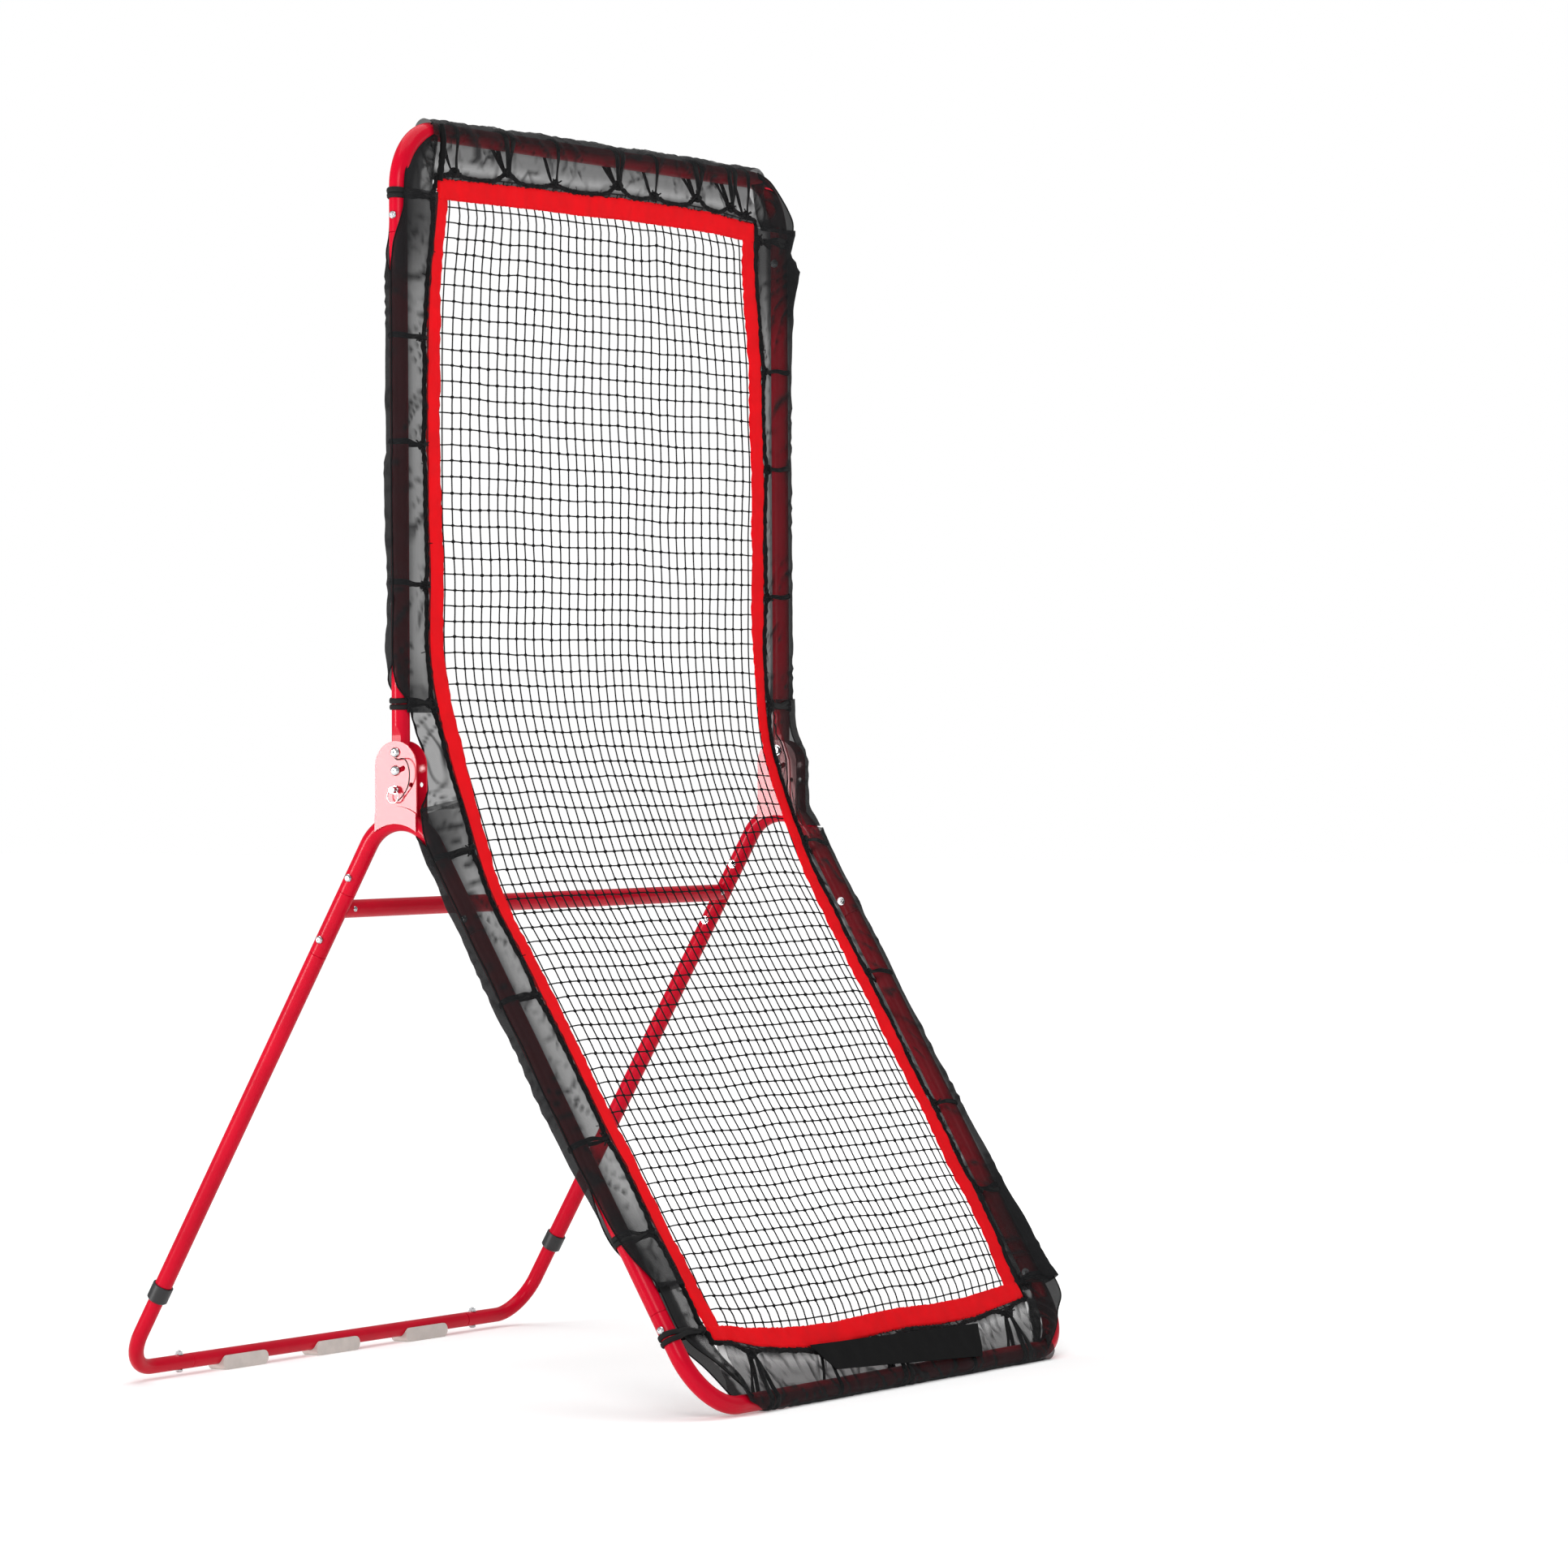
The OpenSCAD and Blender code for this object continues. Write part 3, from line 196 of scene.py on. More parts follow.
class Builder:
    """Collects the vertices, faces, UVs and cloth cover values of one object: cloth density and painted
    shade.
    """

    def __init__(self):
        self.v, self.q, self.t, self.uv, self.n, self.density_and_shade = [], [], [], [], 0, []

    def grid(self, p, uv, close=False):
        rows, cols = p.shape[:2]
        self.v.append(p.reshape(-1, 3))
        self.q.append(grid_faces(rows, cols, close, self.n))
        self.uv.append(uv.reshape(-1, 2))
        self.n += rows * cols

    def tris(self, p, f):
        self.v.append(p)
        self.t.append(f + self.n)
        self.uv.append(np.zeros((len(p), 2)))
        self.n += len(p)

    def tube(self, path, r, sides, ref, flat=1.0, cap=True):
        """A tube on a path. flat squashes it along ref."""
        path = np.asarray(path, float)
        t = np.gradient(path, axis=0)
        t /= np.linalg.norm(t, axis=1)[:, None] + TINY
        ref = np.broadcast_to(np.asarray(ref, float), path.shape)
        side = np.cross(t, ref)
        side /= np.linalg.norm(side, axis=1)[:, None] + TINY
        up = np.cross(side, t)
        r = np.broadcast_to(np.asarray(r, float), len(path))
        ang = np.arange(sides) * 2 * math.pi / sides
        across = np.cos(ang)[None, :, None] * side[:, None] + flat * np.sin(ang)[None, :, None] * up[:, None]
        girth = 0.02  # what the UVs take the tube to be round, in metres
        uv = np.stack(np.broadcast_arrays(arc_lengths(path)[:, None], ang[None] / (2 * math.pi) * girth), -1)
        base = self.n
        self.grid(path[:, None] + r[:, None, None] * across, uv, close=True)
        if cap:
            k = np.arange(sides)
            for ring, c in ((0, path[0]), (len(path) - 1, path[-1])):
                a, b = base + ring * sides + k, base + ring * sides + (k + 1) % sides
                f = np.stack([b - self.n, a - self.n, 0 * a], -1)
                self.tris(c[None], f if ring == 0 else f[:, ::-1])

    def done(self, name, mat):
        faces = [np.concatenate(f) for f in (self.q, self.t) if f]
        verts = np.concatenate(self.v)
        verts[:, 2] = np.maximum(verts[:, 2], FLOOR_GAP)
        o = make(name, verts, faces, mat, np.concatenate(self.uv))
        if self.density_and_shade:
            values = np.ones(self.n, np.float32)
            for start, d in self.density_and_shade:
                values[start:start + d.size] = d.ravel()
            o.data.attributes.new("density_and_shade", "FLOAT", "POINT").data.foreach_set("value", values)
        return o


def smooth_path(points, n):
    """n points on a Catmull-Rom curve through the given ones."""
    p = np.asarray(points, float)
    p = np.vstack([2 * p[0] - p[1], p, 2 * p[-1] - p[-2]])
    t = np.linspace(0, len(p) - 3 - 1e-9, n)
    i = t.astype(int)
    f = (t - i)[:, None]
    a, b, c, d = p[i], p[i + 1], p[i + 2], p[i + 3]
    return 0.5 * (2 * b + (c - a) * f + (2 * a - 5 * b + 4 * c - d) * f**2 + (3 * b - a - 3 * c + d) * f**3)


def resample(line, n):
    """n points at equal distances along a line."""
    line = np.asarray(line, float)
    d = arc_lengths(line)
    t = np.linspace(0, d[-1], n)
    return np.stack([np.interp(t, d, line[:, i]) for i in range(3)], -1)


def wobble(p, scale, seed):
    """Smooth noise from -1 to 1 at each point."""
    q = np.asarray(p, float).reshape(-1, 3) * scale + seed
    return np.array([noise.noise(Vector(v)) for v in q]).reshape(np.asarray(p).shape[:-1])


def random_way(rng):
    """A unit vector in a random direction."""
    d = rng.normal(0, 1, 3)
    return d / np.linalg.norm(d)


def stub(b, start, tip, bow, r, sides, rng):
    """A short end of cord, a little bent."""
    middle = (start + tip) / 2 + rng.normal(0, bow, 3)
    b.tube(np.array([start, middle, tip]), r, sides, ref=(0.3, 0.9, 0.1))


# --------------------------------------------------------------- materials
def link(m, a, b):
    m.node_tree.links.new(a, b)


def add(m, kind, **kw):
    """A node, with its inputs and settings by name."""
    n = m.node_tree.nodes.new(kind)
    for k, v in kw.items():
        if k in n.inputs.keys():
            n.inputs[k].default_value = v
        else:
            setattr(n, k, v)
    return n


def map_range(m, value, low, high, to_low, to_high):
    limits = {"From Min": low, "From Max": high, "To Min": to_low, "To Max": to_high}
    n = add(m, "ShaderNodeMapRange", **limits)
    link(m, value, n.inputs["Value"])
    return n.outputs["Result"]


def srgb(r, g, b):
    """A colour for a shader from sRGB values of 0 to 255."""
    linear = [c / 255 / 12.92 if c <= 10 else ((c / 255 + 0.055) / 1.055) ** 2.4 for c in (r, g, b)]
    return (*linear, 1)


def surface(name, colour, rough, dark, vary, bump, metal=0.0, coat=0.0, spec=0.5, rough_by=0.12,
            coord="Object"):
    """A finish with colour and gloss that vary softly, and a fine bump.

    dark is the darkest share of the colour, vary the scale of the change, and
    bump the scale, strength and height of the fine one."""
    m = bpy.data.materials.new(name)
    m.use_nodes = True
    b = m.node_tree.nodes["Principled BSDF"]
    b.inputs["Metallic"].default_value = metal
    b.inputs["Coat Weight"].default_value = coat
    b.inputs["Coat Roughness"].default_value = 0.2
    b.inputs["Specular IOR Level"].default_value = spec
    co = add(m, "ShaderNodeTexCoord")
    big = add(m, "ShaderNodeTexNoise", Scale=vary, Detail=5.0, Roughness=0.6)
    link(m, co.outputs[coord], big.inputs["Vector"])
    ramp = add(m, "ShaderNodeValToRGB")
    ramp.color_ramp.elements[0].position = 0.3
    ramp.color_ramp.elements[0].color = tuple(c * dark for c in colour[:3]) + (1,)
    ramp.color_ramp.elements[1].position = 0.62
    ramp.color_ramp.elements[1].color = colour
    link(m, big.outputs["Fac"], ramp.inputs["Fac"])
    link(m, ramp.outputs["Color"], b.inputs["Base Color"])
    gloss = map_range(m, big.outputs["Fac"], 0, 1, max(rough - rough_by, 0.02), min(rough + rough_by, 1))
    link(m, gloss, b.inputs["Roughness"])
    fine = add(m, "ShaderNodeTexNoise", Scale=bump[0], Detail=2.0)
    link(m, co.outputs[coord], fine.inputs["Vector"])
    bp = add(m, "ShaderNodeBump", Strength=bump[1], Distance=bump[2])
    link(m, fine.outputs["Fac"], bp.inputs["Height"])
    link(m, bp.outputs["Normal"], b.inputs["Normal"])
    return m


def weave(m, pitch):
    """Replaces a finish's bump by crossed threads, and returns where they lie, from -1 to 1."""
    co = add(m, "ShaderNodeTexCoord")
    sep = add(m, "ShaderNodeSeparateXYZ")
    link(m, co.outputs["UV"], sep.inputs[0])
    waves = []
    for axis in "XY":
        mul = add(m, "ShaderNodeMath", operation="MULTIPLY")
        mul.inputs[1].default_value = 2 * math.pi / pitch
        link(m, sep.outputs[axis], mul.inputs[0])
        sine = add(m, "ShaderNodeMath", operation="SINE")
        link(m, mul.outputs[0], sine.inputs[0])
        waves.append(sine.outputs[0])
    both = add(m, "ShaderNodeMath", operation="MULTIPLY")
    link(m, waves[0], both.inputs[0])
    link(m, waves[1], both.inputs[1])
    bp = next(n for n in m.node_tree.nodes if n.type == "BUMP")
    bp.inputs["Strength"].default_value = 0.5
    bp.inputs["Distance"].default_value = 0.0003
    for old in list(bp.inputs["Height"].links):
        m.node_tree.links.remove(old)
    link(m, both.outputs[0], bp.inputs["Height"])
    return both.outputs[0]


RED = surface("red_powder_coat", srgb(194, 3, 36), 0.34, 0.84, 9, (1400, 0.12, 0.0001), coat=0.16, spec=0.04)
PLATE = surface("red_plate", srgb(196, 16, 40), 0.3, 0.86, 16, (900, 0.03, 0.00005), coat=0.55, spec=0.03)
ZINC = surface("zinc_plate", srgb(205, 206, 208), 0.24, 0.7, 160, (1100, 0.1, 0.0001), metal=1.0)
BLACK = surface("black_plastic", srgb(26, 26, 28), 0.42, 0.7, 40, (1600, 0.25, 0.00012))
RUBBER = surface("foot_rubber", srgb(205, 196, 190), 0.6, 0.88, 40, (1300, 0.4, 0.0002), rough_by=0.08)
CORD = surface("net_cord", srgb(16, 16, 17), 0.8, 0.5, 300, (2600, 0.6, 0.0003), spec=0.15)
ROPE = surface("edge_cord", srgb(13, 13, 14), 0.85, 0.5, 220, (1500, 0.9, 0.0008), spec=0.15)
ELASTIC = surface("black_elastic", srgb(13, 13, 14), 0.75, 0.6, 90, (1500, 0.5, 0.0003), spec=0.25)
WIRE = surface("wire", srgb(40, 36, 36), 0.35, 0.6, 200, (1800, 0.3, 0.0001), metal=0.6)
WEB = surface("red_webbing", srgb(232, 9, 22), 0.75, 0.86, 26, (900, 0.3, 0.0003), rough_by=0.08, spec=0.1)
weave(WEB, 0.0016)


def both_sides(*names):
    return [f"{side}_{name}" for name in names for side in ("left", "right")]


FINISH = {
    RED: ["crossbar", "rear_foot_bar", "bottom_bar", "top_bar",
          *both_sides("hinge_arch", "leg_coupler", "rear_leg", "rear_foot_corner", "lower_side_tube",
                      "bottom_corner", "upper_side_tube", "top_corner")],
    PLATE: both_sides("outer_hinge_plate", "inner_hinge_plate"),
    ZINC: ["crossbar_screws", *both_sides("lock_pin", "pin_ring"),
           *(f"{place}_{kind}" for place in ("frame", "foot", "pivot", "guide", "upper_frame")
             for kind in ("bolts", "nuts"))],
    BLACK: both_sides("leg_collar"),
    RUBBER: ["rear_foot_pads"],
}
for finish, names in FINISH.items():
    for name in names:
        nodes[name].data.materials.clear()
        nodes[name].data.materials.append(finish)

# ------------------------------------------------------------------ camera
# As solved from the photograph
cam_data = bpy.data.cameras.new("camera")
cam_data.lens, cam_data.sensor_width = 135.64, 36.0
cam_data.clip_start, cam_data.clip_end = 0.5, 200
camera = bpy.data.objects.new("camera", cam_data)
bpy.context.scene.collection.objects.link(camera)
eye = Vector((-8.5059, -5.58501, 1.0671))
look = (Vector((0.1649, -0.26681, 1.0061)) - eye).normalized()
right = look.cross(Vector((0, 0, 1))).normalized()
up = right.cross(look)
roll = math.radians(-0.28)
right, up = right * math.cos(roll) + up * math.sin(roll), up * math.cos(roll) - right * math.sin(roll)
camera.matrix_world = Matrix.Translation(eye) @ Matrix((right, up, -look)).transposed().to_4x4()
bpy.context.scene.camera = camera

# ------------------------------------------------------------------- wires
# In mm from the pivot: in from the side tube, to the front, and up
ROUTE = [(-17.2, 0, -9.8), (-19, 7, -12), (-22, 16, -10), (-24, 25, -12), (-25, 31, -20), (-25, 34, -32),
         (-24, 33, -44), (-22, 29, -55), (-20.5, 22, -65), (-20.5, 14, -74), (-21.6, 8, -79.4)]
WIRE_R = 0.001
for side, name in SIDES:
    p = [[side * (HALF_W - 0.001 * a), STAND_Y - 0.001 * b, PIVOT_Z + 0.001 * c] for a, b, c in ROUTE]
    p = smooth_path(p, 36)
    b = Builder()
    b.tube(p, WIRE_R, 8, ref=(1, 0, 0))
    wire = b.done(f"{name}_wire", WIRE)
    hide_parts(f"{name}_lanyard")
    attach(wire, "stand")

# --------------------------------------------------------------------- net
COLS, ROWS = 40, 78  # its meshes
NET_CORD_R = 0.0012
# The elastics of the top bar and of the bottom bar: each one's x and its pull
LOOPS = [(-0.45, 0.5), (-0.294, 1.0), (-0.15, 0.45), (0.045, 1.0), (0.16, 0.4), (0.3, 1.0), (0.412, 0.9),
         (0.462, 0.5)]
LOW_LOOPS = [(-0.408, 1.0), (-0.2, 0.6), (0.02, 0.9), (0.24, 0.6), (0.43, 0.9)]
STRONG = 0.85  # an elastic that pulls more than this is doubled
SLACK, TOP_DRAW, LOW_DRAW = 0.002, 0.016, 0.012  # of the edge cord between elastics, and at a pull of 1


def loops_at(x, loops):
    """How much the elastics pull at x."""
    return sum(k * np.exp(-(((x - c) / 0.026) ** 2)) for c, k in loops)


def net_cords():
    """Crossed cords with knots, evenly spaced at the net's edges and a little unevenly within."""
    b = Builder()
    f, g = np.linspace(0, 1, COLS * 2 + 1), np.linspace(0, 1, ROWS * 2 + 1)
    G, F = np.meshgrid(g, f, indexing="ij")
    s = LOW_S + (TOP_S - LOW_S) * G
    left, right = -HALF_W + inset(-1, s), HALF_W - inset(1, s)
    x = left + (right - left) * F
    s = warp(x, s)
    cell = pts(F * COLS, G * ROWS, 0 * F)
    from_side, from_end = np.minimum(F, 1 - F), np.minimum(G, 1 - G)
    inner = np.minimum(from_side * 12, from_end * 20).clip(0, 1)
    x = x + inner * (0.0022 * wobble(cell, 0.22, 3) + 0.0011 * wobble(cell, 0.9, 17))
    s = s + inner * (0.0035 * wobble(cell, 0.16, 31) + 0.0014 * wobble(cell, 0.8, 47))
    near_top = np.exp(-(TOP_S - s) / 0.16)
    s = s + inner * near_top * 0.006 * wobble(cell, 0.3, 77)
    # The net runs behind the webbing that it is sewn to
    edge = np.minimum(from_side * (x[:, -1:] - x[:, :1]), from_end * (TOP_S - LOW_S))
    behind = np.clip((0.056 - edge) / 0.008, 0, 1) * np.clip(edge / 0.004, 0, 1)
    p = net(x, s, inner * 0.005 * wobble(cell, 0.12, 59) - 0.0055 * behind)
    normal = net_normal(s)
    for j in range(0, 2 * COLS + 1, 2):
        b.tube(p[:, j], NET_CORD_R, 5, ref=normal[:, j], cap=False)
    for i in range(0, 2 * ROWS + 1, 2):
        b.tube(p[i], NET_CORD_R, 5, ref=normal[i], cap=False)
    bm = bmesh.new()
    bmesh.ops.create_icosphere(bm, subdivisions=1, radius=1)
    ball = np.array([v.co for v in bm.verts])
    ball_faces = np.array([[v.index for v in face.verts] for face in bm.faces])
    bm.free()
    rng = np.random.default_rng(5)
    knots = p[2:-2:2, 2:-2:2].reshape(-1, 1, 3)
    size = rng.uniform(0.0026, 0.0037, knots.shape) * (1 - 0.6 * behind[2:-2:2, 2:-2:2].reshape(-1, 1, 1))
    first = len(ball) * np.arange(len(knots))[:, None, None]
    b.tris((knots + ball * size).reshape(-1, 3), (ball_faces + first).reshape(-1, 3))
    return b.done("net", CORD)


BEND_LOW, BEND_UP = tuple(net(0, -0.11)), tuple(net(0, 0.11))


def bend(o):
    """Bakes the transform of a piece that crosses the hinge into its mesh."""
    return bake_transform(o)


net_obj = net_cords()
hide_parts("lower_net", "upper_net")
bend(net_obj)


# ----------------------------------------------------------------- webbing
def ribbon(name, place, width, replaced, seed):
    """A sewn strip: place(t, w, n) gives the point t along it, w across it and n through it."""
    rows, across = 190, 9
    w = np.concatenate([np.linspace(0, width, across), np.linspace(width, 0, across)])
    edge = np.clip(np.minimum(w, width - w) / 0.0016, 0, 1)
    n = np.repeat([1.0, -1.0], across) * WEB_T / 2 * (0.45 + 0.55 * edge)
    T, W = np.meshgrid(np.linspace(0, 1, rows), w, indexing="ij")
    q = pts(T * 40, W * 30, 0 * T)
    hem = np.exp(-np.minimum(W, width - W) / 0.005)
    N = n + 0.0018 * wobble(q, 1.0, seed) + 0.0011 * hem * np.sin(T * 620 + 5 * wobble(q, 2.0, seed + 5))
    W = W + 0.0012 * hem * wobble(q, 3.5, seed + 9) * np.sign(W - width / 2)
    p = place(T, W, N)
    run = arc_lengths(p[:, across // 2])
    b = Builder()
    b.grid(p, np.stack(np.broadcast_arrays(run[:, None], w[None]), -1), close=True)
    k = np.arange(across - 1)
    end = np.stack([k, 2 * across - 1 - k, 2 * across - 2 - k, k + 1], -1)
    b.q += [end, end[:, ::-1] + (rows - 1) * 2 * across]
    o = b.done(name, WEB)
    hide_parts(*replaced)
    return o, float(run[-1])


def side_ribbon(side):
    def place(T, W, N):
        s = LOW_S + 0.004 + (TOP_S - LOW_S - 0.008) * T
        w = W * np.interp(s, *WEB_SHARE[side]) * (1 + 0.03 * np.sin(s * 23 + side))
        x = side * (HALF_W - inset(side, s) - WEB_GAP - w)
        return net(x, warp(x, s), N)
    return place


def end_ribbon(end_s, sign):
    def place(T, W, N):
        edge = HALF_W - 0.5 * (inset(-1, end_s) + inset(1, end_s)) - WEB_GAP
        middle = 0.5 * (inset(-1, end_s) - inset(1, end_s))
        x = middle + (2 * T - 1) * edge
        return net(x, warp(x, end_s - sign * (WEB_GAP + W)), N + 0.0012)
    return place


for side, name in SIDES:
    strip, run = ribbon(f"{name}_side_webbing", side_ribbon(side), WEB_W,
                        [f"{name}_lower_webbing", f"{name}_upper_webbing"], 3 + side)
    bend(strip)
for name, end_s, sign, width, body in (
        ("top", TOP_S, 1, 0.0365, "upper_frame"), ("bottom", LOW_S, -1, 0.036, "stand")):
    strip, run = ribbon(f"{name}_edge_webbing", end_ribbon(end_s, sign), width,
                        [f"{name}_webbing"], 11 + sign)
    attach(strip, body)

# --------------------------------------------------------------- edge cord
# The elastics of the side tubes: each one's a and its pull
SIDE_LOOPS = {"upper": [(0.116, 1.0), (0.31, 0.6), (0.54, 0.7), (0.715, 0.7), (0.95, 1.0)],
              "lower": [(0.15, 0.6), (0.415, 0.7), (0.68, 0.7), (0.855, 1.0), (1.03, 0.9)]}


def pull(s):
    """How far the side elastics draw the edge cord out."""
    out = np.zeros(np.shape(s))
    for half_name, sign in (("upper", 1), ("lower", -1)):
        for a, k in SIDE_LOOPS[half_name]:
            out = out + k * np.exp(-(((s - sign * s_of(a)) / 0.02) ** 2))
    return 0.009 * out


def cord_points():
    """The edge cord's x and s, once round the net from its lower left corner."""
    s = np.linspace(LOW_S, TOP_S, 420)
    left = np.stack([-HALF_W + inset(-1, s) - pull(s), s], -1)
    right = np.stack([HALF_W - inset(1, s) + pull(s), s], -1)[::-1]
    x = np.linspace(left[-1, 0], right[0, 0], 260)[1:-1]
    top = np.stack([x, TOP_S - SLACK + TOP_DRAW * loops_at(x, LOOPS)], -1)
    x = np.linspace(right[-1, 0], left[0, 0], 260)[1:-1]
    low = np.stack([x, LOW_S + SLACK - LOW_DRAW * loops_at(x, LOW_LOOPS)], -1)
    x, s = np.vstack([left, top, right, low, left[:2]]).T
    return x, warp(x, s)


def edge_cord():
    """The lumpy cord, and the short ends of thread that stick out of it."""
    x, s = cord_points()
    q = pts(x, 0 * x, s)
    p = net(x + 0.0012 * wobble(q, 70, 9), s + 0.0012 * wobble(q, 70, 21), 0.0012 * wobble(q, 60, 5))
    r = 0.0034 + 0.0022 * np.abs(wobble(q, 110, 33)) + 0.0005 * np.sin(np.arange(len(p)) * 1.7)
    b = Builder()
    b.tube(p, r, 7, ref=net_normal(s))
    rng = np.random.default_rng(8)
    for i in range(6, len(p) - 6, 9):
        tip = p[i] + random_way(rng) * rng.uniform(0.005, 0.011)
        stub(b, p[i], tip, 0.0006, 0.0008, 4, rng)
    return b.done("edge_cord", ROPE)


cord_obj = edge_cord()
bend(cord_obj)


# ------------------------------------------------------------------- loops
def loop_path(k, v, spread, r_tube):
    """An elastic's line round the tube at 0 and the cord at (k, v): points (u, v, sideways)."""
    r_end = 0.0042
    d = math.hypot(k, v)
    tilt = math.atan2(v, k)
    t = math.acos((r_tube - r_end) / d)
    turn = np.linspace(t, 2 * math.pi - t, 15)
    round_tube = np.stack([r_tube * np.cos(turn), r_tube * np.sin(turn)], -1)
    turn = np.linspace(-t, t, 5)
    round_cord = np.stack([d + r_end * np.cos(turn), r_end * np.sin(turn)], -1)
    p = np.vstack([round_cord[2:], round_tube, round_cord[:3]])
    share = np.clip(1 - (p[:, 0] - 0.002) / d, 0, 1)
    c, s = math.cos(tilt), math.sin(tilt)
    return np.stack([p[:, 0] * c - p[:, 1] * s, p[:, 0] * s + p[:, 1] * c, share * spread], -1)


def loops(half_name):
    low = half_name == "lower"
    b = Builder()
    rng = np.random.default_rng(12 if low else 4)

    def strap(place, k, v, pulls, seed, apart, width):
        """One elastic from the tube to the cord at (k, v), with a knot and loose ends.

        place(u, v, w) gives the point w sideways of the elastic's middle."""
        strong = pulls > STRONG
        for j, spread in enumerate((-apart, apart) if strong else (0.003,)):
            q = resample(loop_path(k, v, spread, 0.0168 + 0.0004 * j), 64)
            q[:, 2] += 0.0015 * np.sin(q[:, 0] * 90 + seed + j)
            p = place(q[:, 0], q[:, 1], q[:, 2])
            centre = place(0 * q[:, 0], 0 * q[:, 0], q[:, 2])
            b.tube(p, width * (1 - 0.35 * np.clip(q[:, 0] / k, 0, 1)), 8, ref=p - centre, flat=0.42)
        knot = place(np.array([k - 0.001]), np.array([v]), np.array([0.0]))[0]
        turn = np.linspace(0, 2 * math.pi, 11)[:, None]
        for _ in range(3 if strong else 2):
            one, other = random_way(rng), rng.normal(0, 1, 3)
            other -= (other @ one) * one
            other /= np.linalg.norm(other)
            ring = rng.uniform(0.0045, 0.0075) * (np.cos(turn) * one + np.sin(turn) * other)
            b.tube(knot + ring, 0.0029, 6, ref=np.cross(one, other))
        for _ in range(4):
            tip = knot + random_way(rng) * rng.uniform(0.008, 0.015)
            stub(b, knot, tip, 0.0012, 0.0014, 5, rng)

    bar = LOW_BAR if low else TOP_BAR
    for c, pulls in LOW_LOOPS if low else LOOPS:
        edge = LOW_S + (SLACK - LOW_DRAW * pulls) if low else TOP_S + (TOP_DRAW * pulls - SLACK)
        k = bar - float(a_of(warp(c, edge)))
        strap(lambda u, v, w, c=c: half(low, c + w, bar - u, v), k, FRONT, pulls, c * 40,
              0.01, 0.006 if pulls > STRONG else 0.0046)
    for side, _ in SIDES:
        for a, pulls in SIDE_LOOPS[half_name]:
            s = (-1 if low else 1) * float(s_of(a))
            k = float(inset(side, s)) - float(pull(s))
            strap(lambda u, v, w, a=a, side=side: half(low, side * (HALF_W - u), a + w, v), k,
                  float(net_v(a)), pulls, a * 50, 0.0048, 0.0046)
    o = b.done(f"{half_name}_loops", ELASTIC)
    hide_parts(f"{half_name}_elastics")
    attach(o, "stand" if low else "upper_frame")


loops("lower")
loops("upper")

# ----------------------------------------------------------------- sleeves
MESH = surface("mesh_cloth", srgb(19, 19, 21), 0.75, 0.6, 30, (900, 0.3, 0.0003), spec=0.16, coord="UV")
threads = weave(MESH, 0.0024)
# Its threads cover it little where it lies single, and nearly wholly where it is gathered or creased, and
# where it is made darker as painted shade over the tube and at its creases
more_cover = add(MESH, "ShaderNodeAttribute", attribute_name="density_and_shade")
cover = add(MESH, "ShaderNodeMix", data_type="FLOAT")
link(MESH, more_cover.outputs["Fac"], cover.inputs["Factor"])
link(MESH, map_range(MESH, threads, -1, 1, 0.57, 0.25), cover.inputs["A"])
cover.inputs["B"].default_value = 0.95
link(MESH, cover.outputs["Result"], MESH.node_tree.nodes["Principled BSDF"].inputs["Alpha"])
BINDING = surface("sleeve_binding", srgb(12, 12, 13), 0.8, 0.6, 60, (1200, 0.4, 0.0003), spec=0.15)

CLOTH_R = 0.019  # the sleeves' radius round a tube's centre
# How far in on the webbing the hem is sewn, and how far from the net's surface
# the cloth lies there and at the edge cord
HEM_IN, HEM_N, LIP_N = 0.0035, 0.0009, 0.0062
HEM_REF = (0, -1, 0.2)  # the way that a hem's section is turned


def table(pairs, x):
    """The value at x in a table of pairs."""
    return float(np.interp(x, *zip(*pairs)))


def layer_path(hem, lip, beta, loose, toward, sign):
    """One layer's section, from the hem over the lip and round the tube to the angle beta.

    Angles run from the net's side over the front (sign 1) or the rear (sign -1).
    Loose cloth stands off the tube, the most at the angle toward."""
    hem, lip = np.array(hem), np.array(lip)
    b0 = math.atan2(lip[1], lip[0]) + sign * math.acos(min(CLOTH_R / math.hypot(*lip), 0.999))
    b1 = sign * math.radians(beta)
    arc = []
    for t in np.linspace(0, 1, 17):
        b = b0 + (b1 - b0) * t
        swell = loose * max(math.cos(sign * b - math.radians(toward)), 0.0) ** 0.8
        r = CLOTH_R + swell * min(1, 3 * t)
        arc.append((r * math.cos(b), r * math.sin(b)))
    t = np.linspace(0, 1, 3, endpoint=False)[:, None]
    first = hem * (1 - t) + lip * t
    t = np.linspace(0, 1, 9, endpoint=False)[:, None]
    flat = lip * (1 - t) + np.array(arc[0]) * t
    return np.vstack([first, flat, arc])


def run_lengths(p):
    """Lengths along and across a grid of points."""
    return np.broadcast_to(arc_lengths(p).mean(1)[:, None], p.shape[:2]), arc_lengths(p, 1)


def ridge(phase, width):
    """1 at whole phases, down to 0 at width from them."""
    return np.clip(1 - np.abs(phase - np.round(phase)) / width, 0, 1)


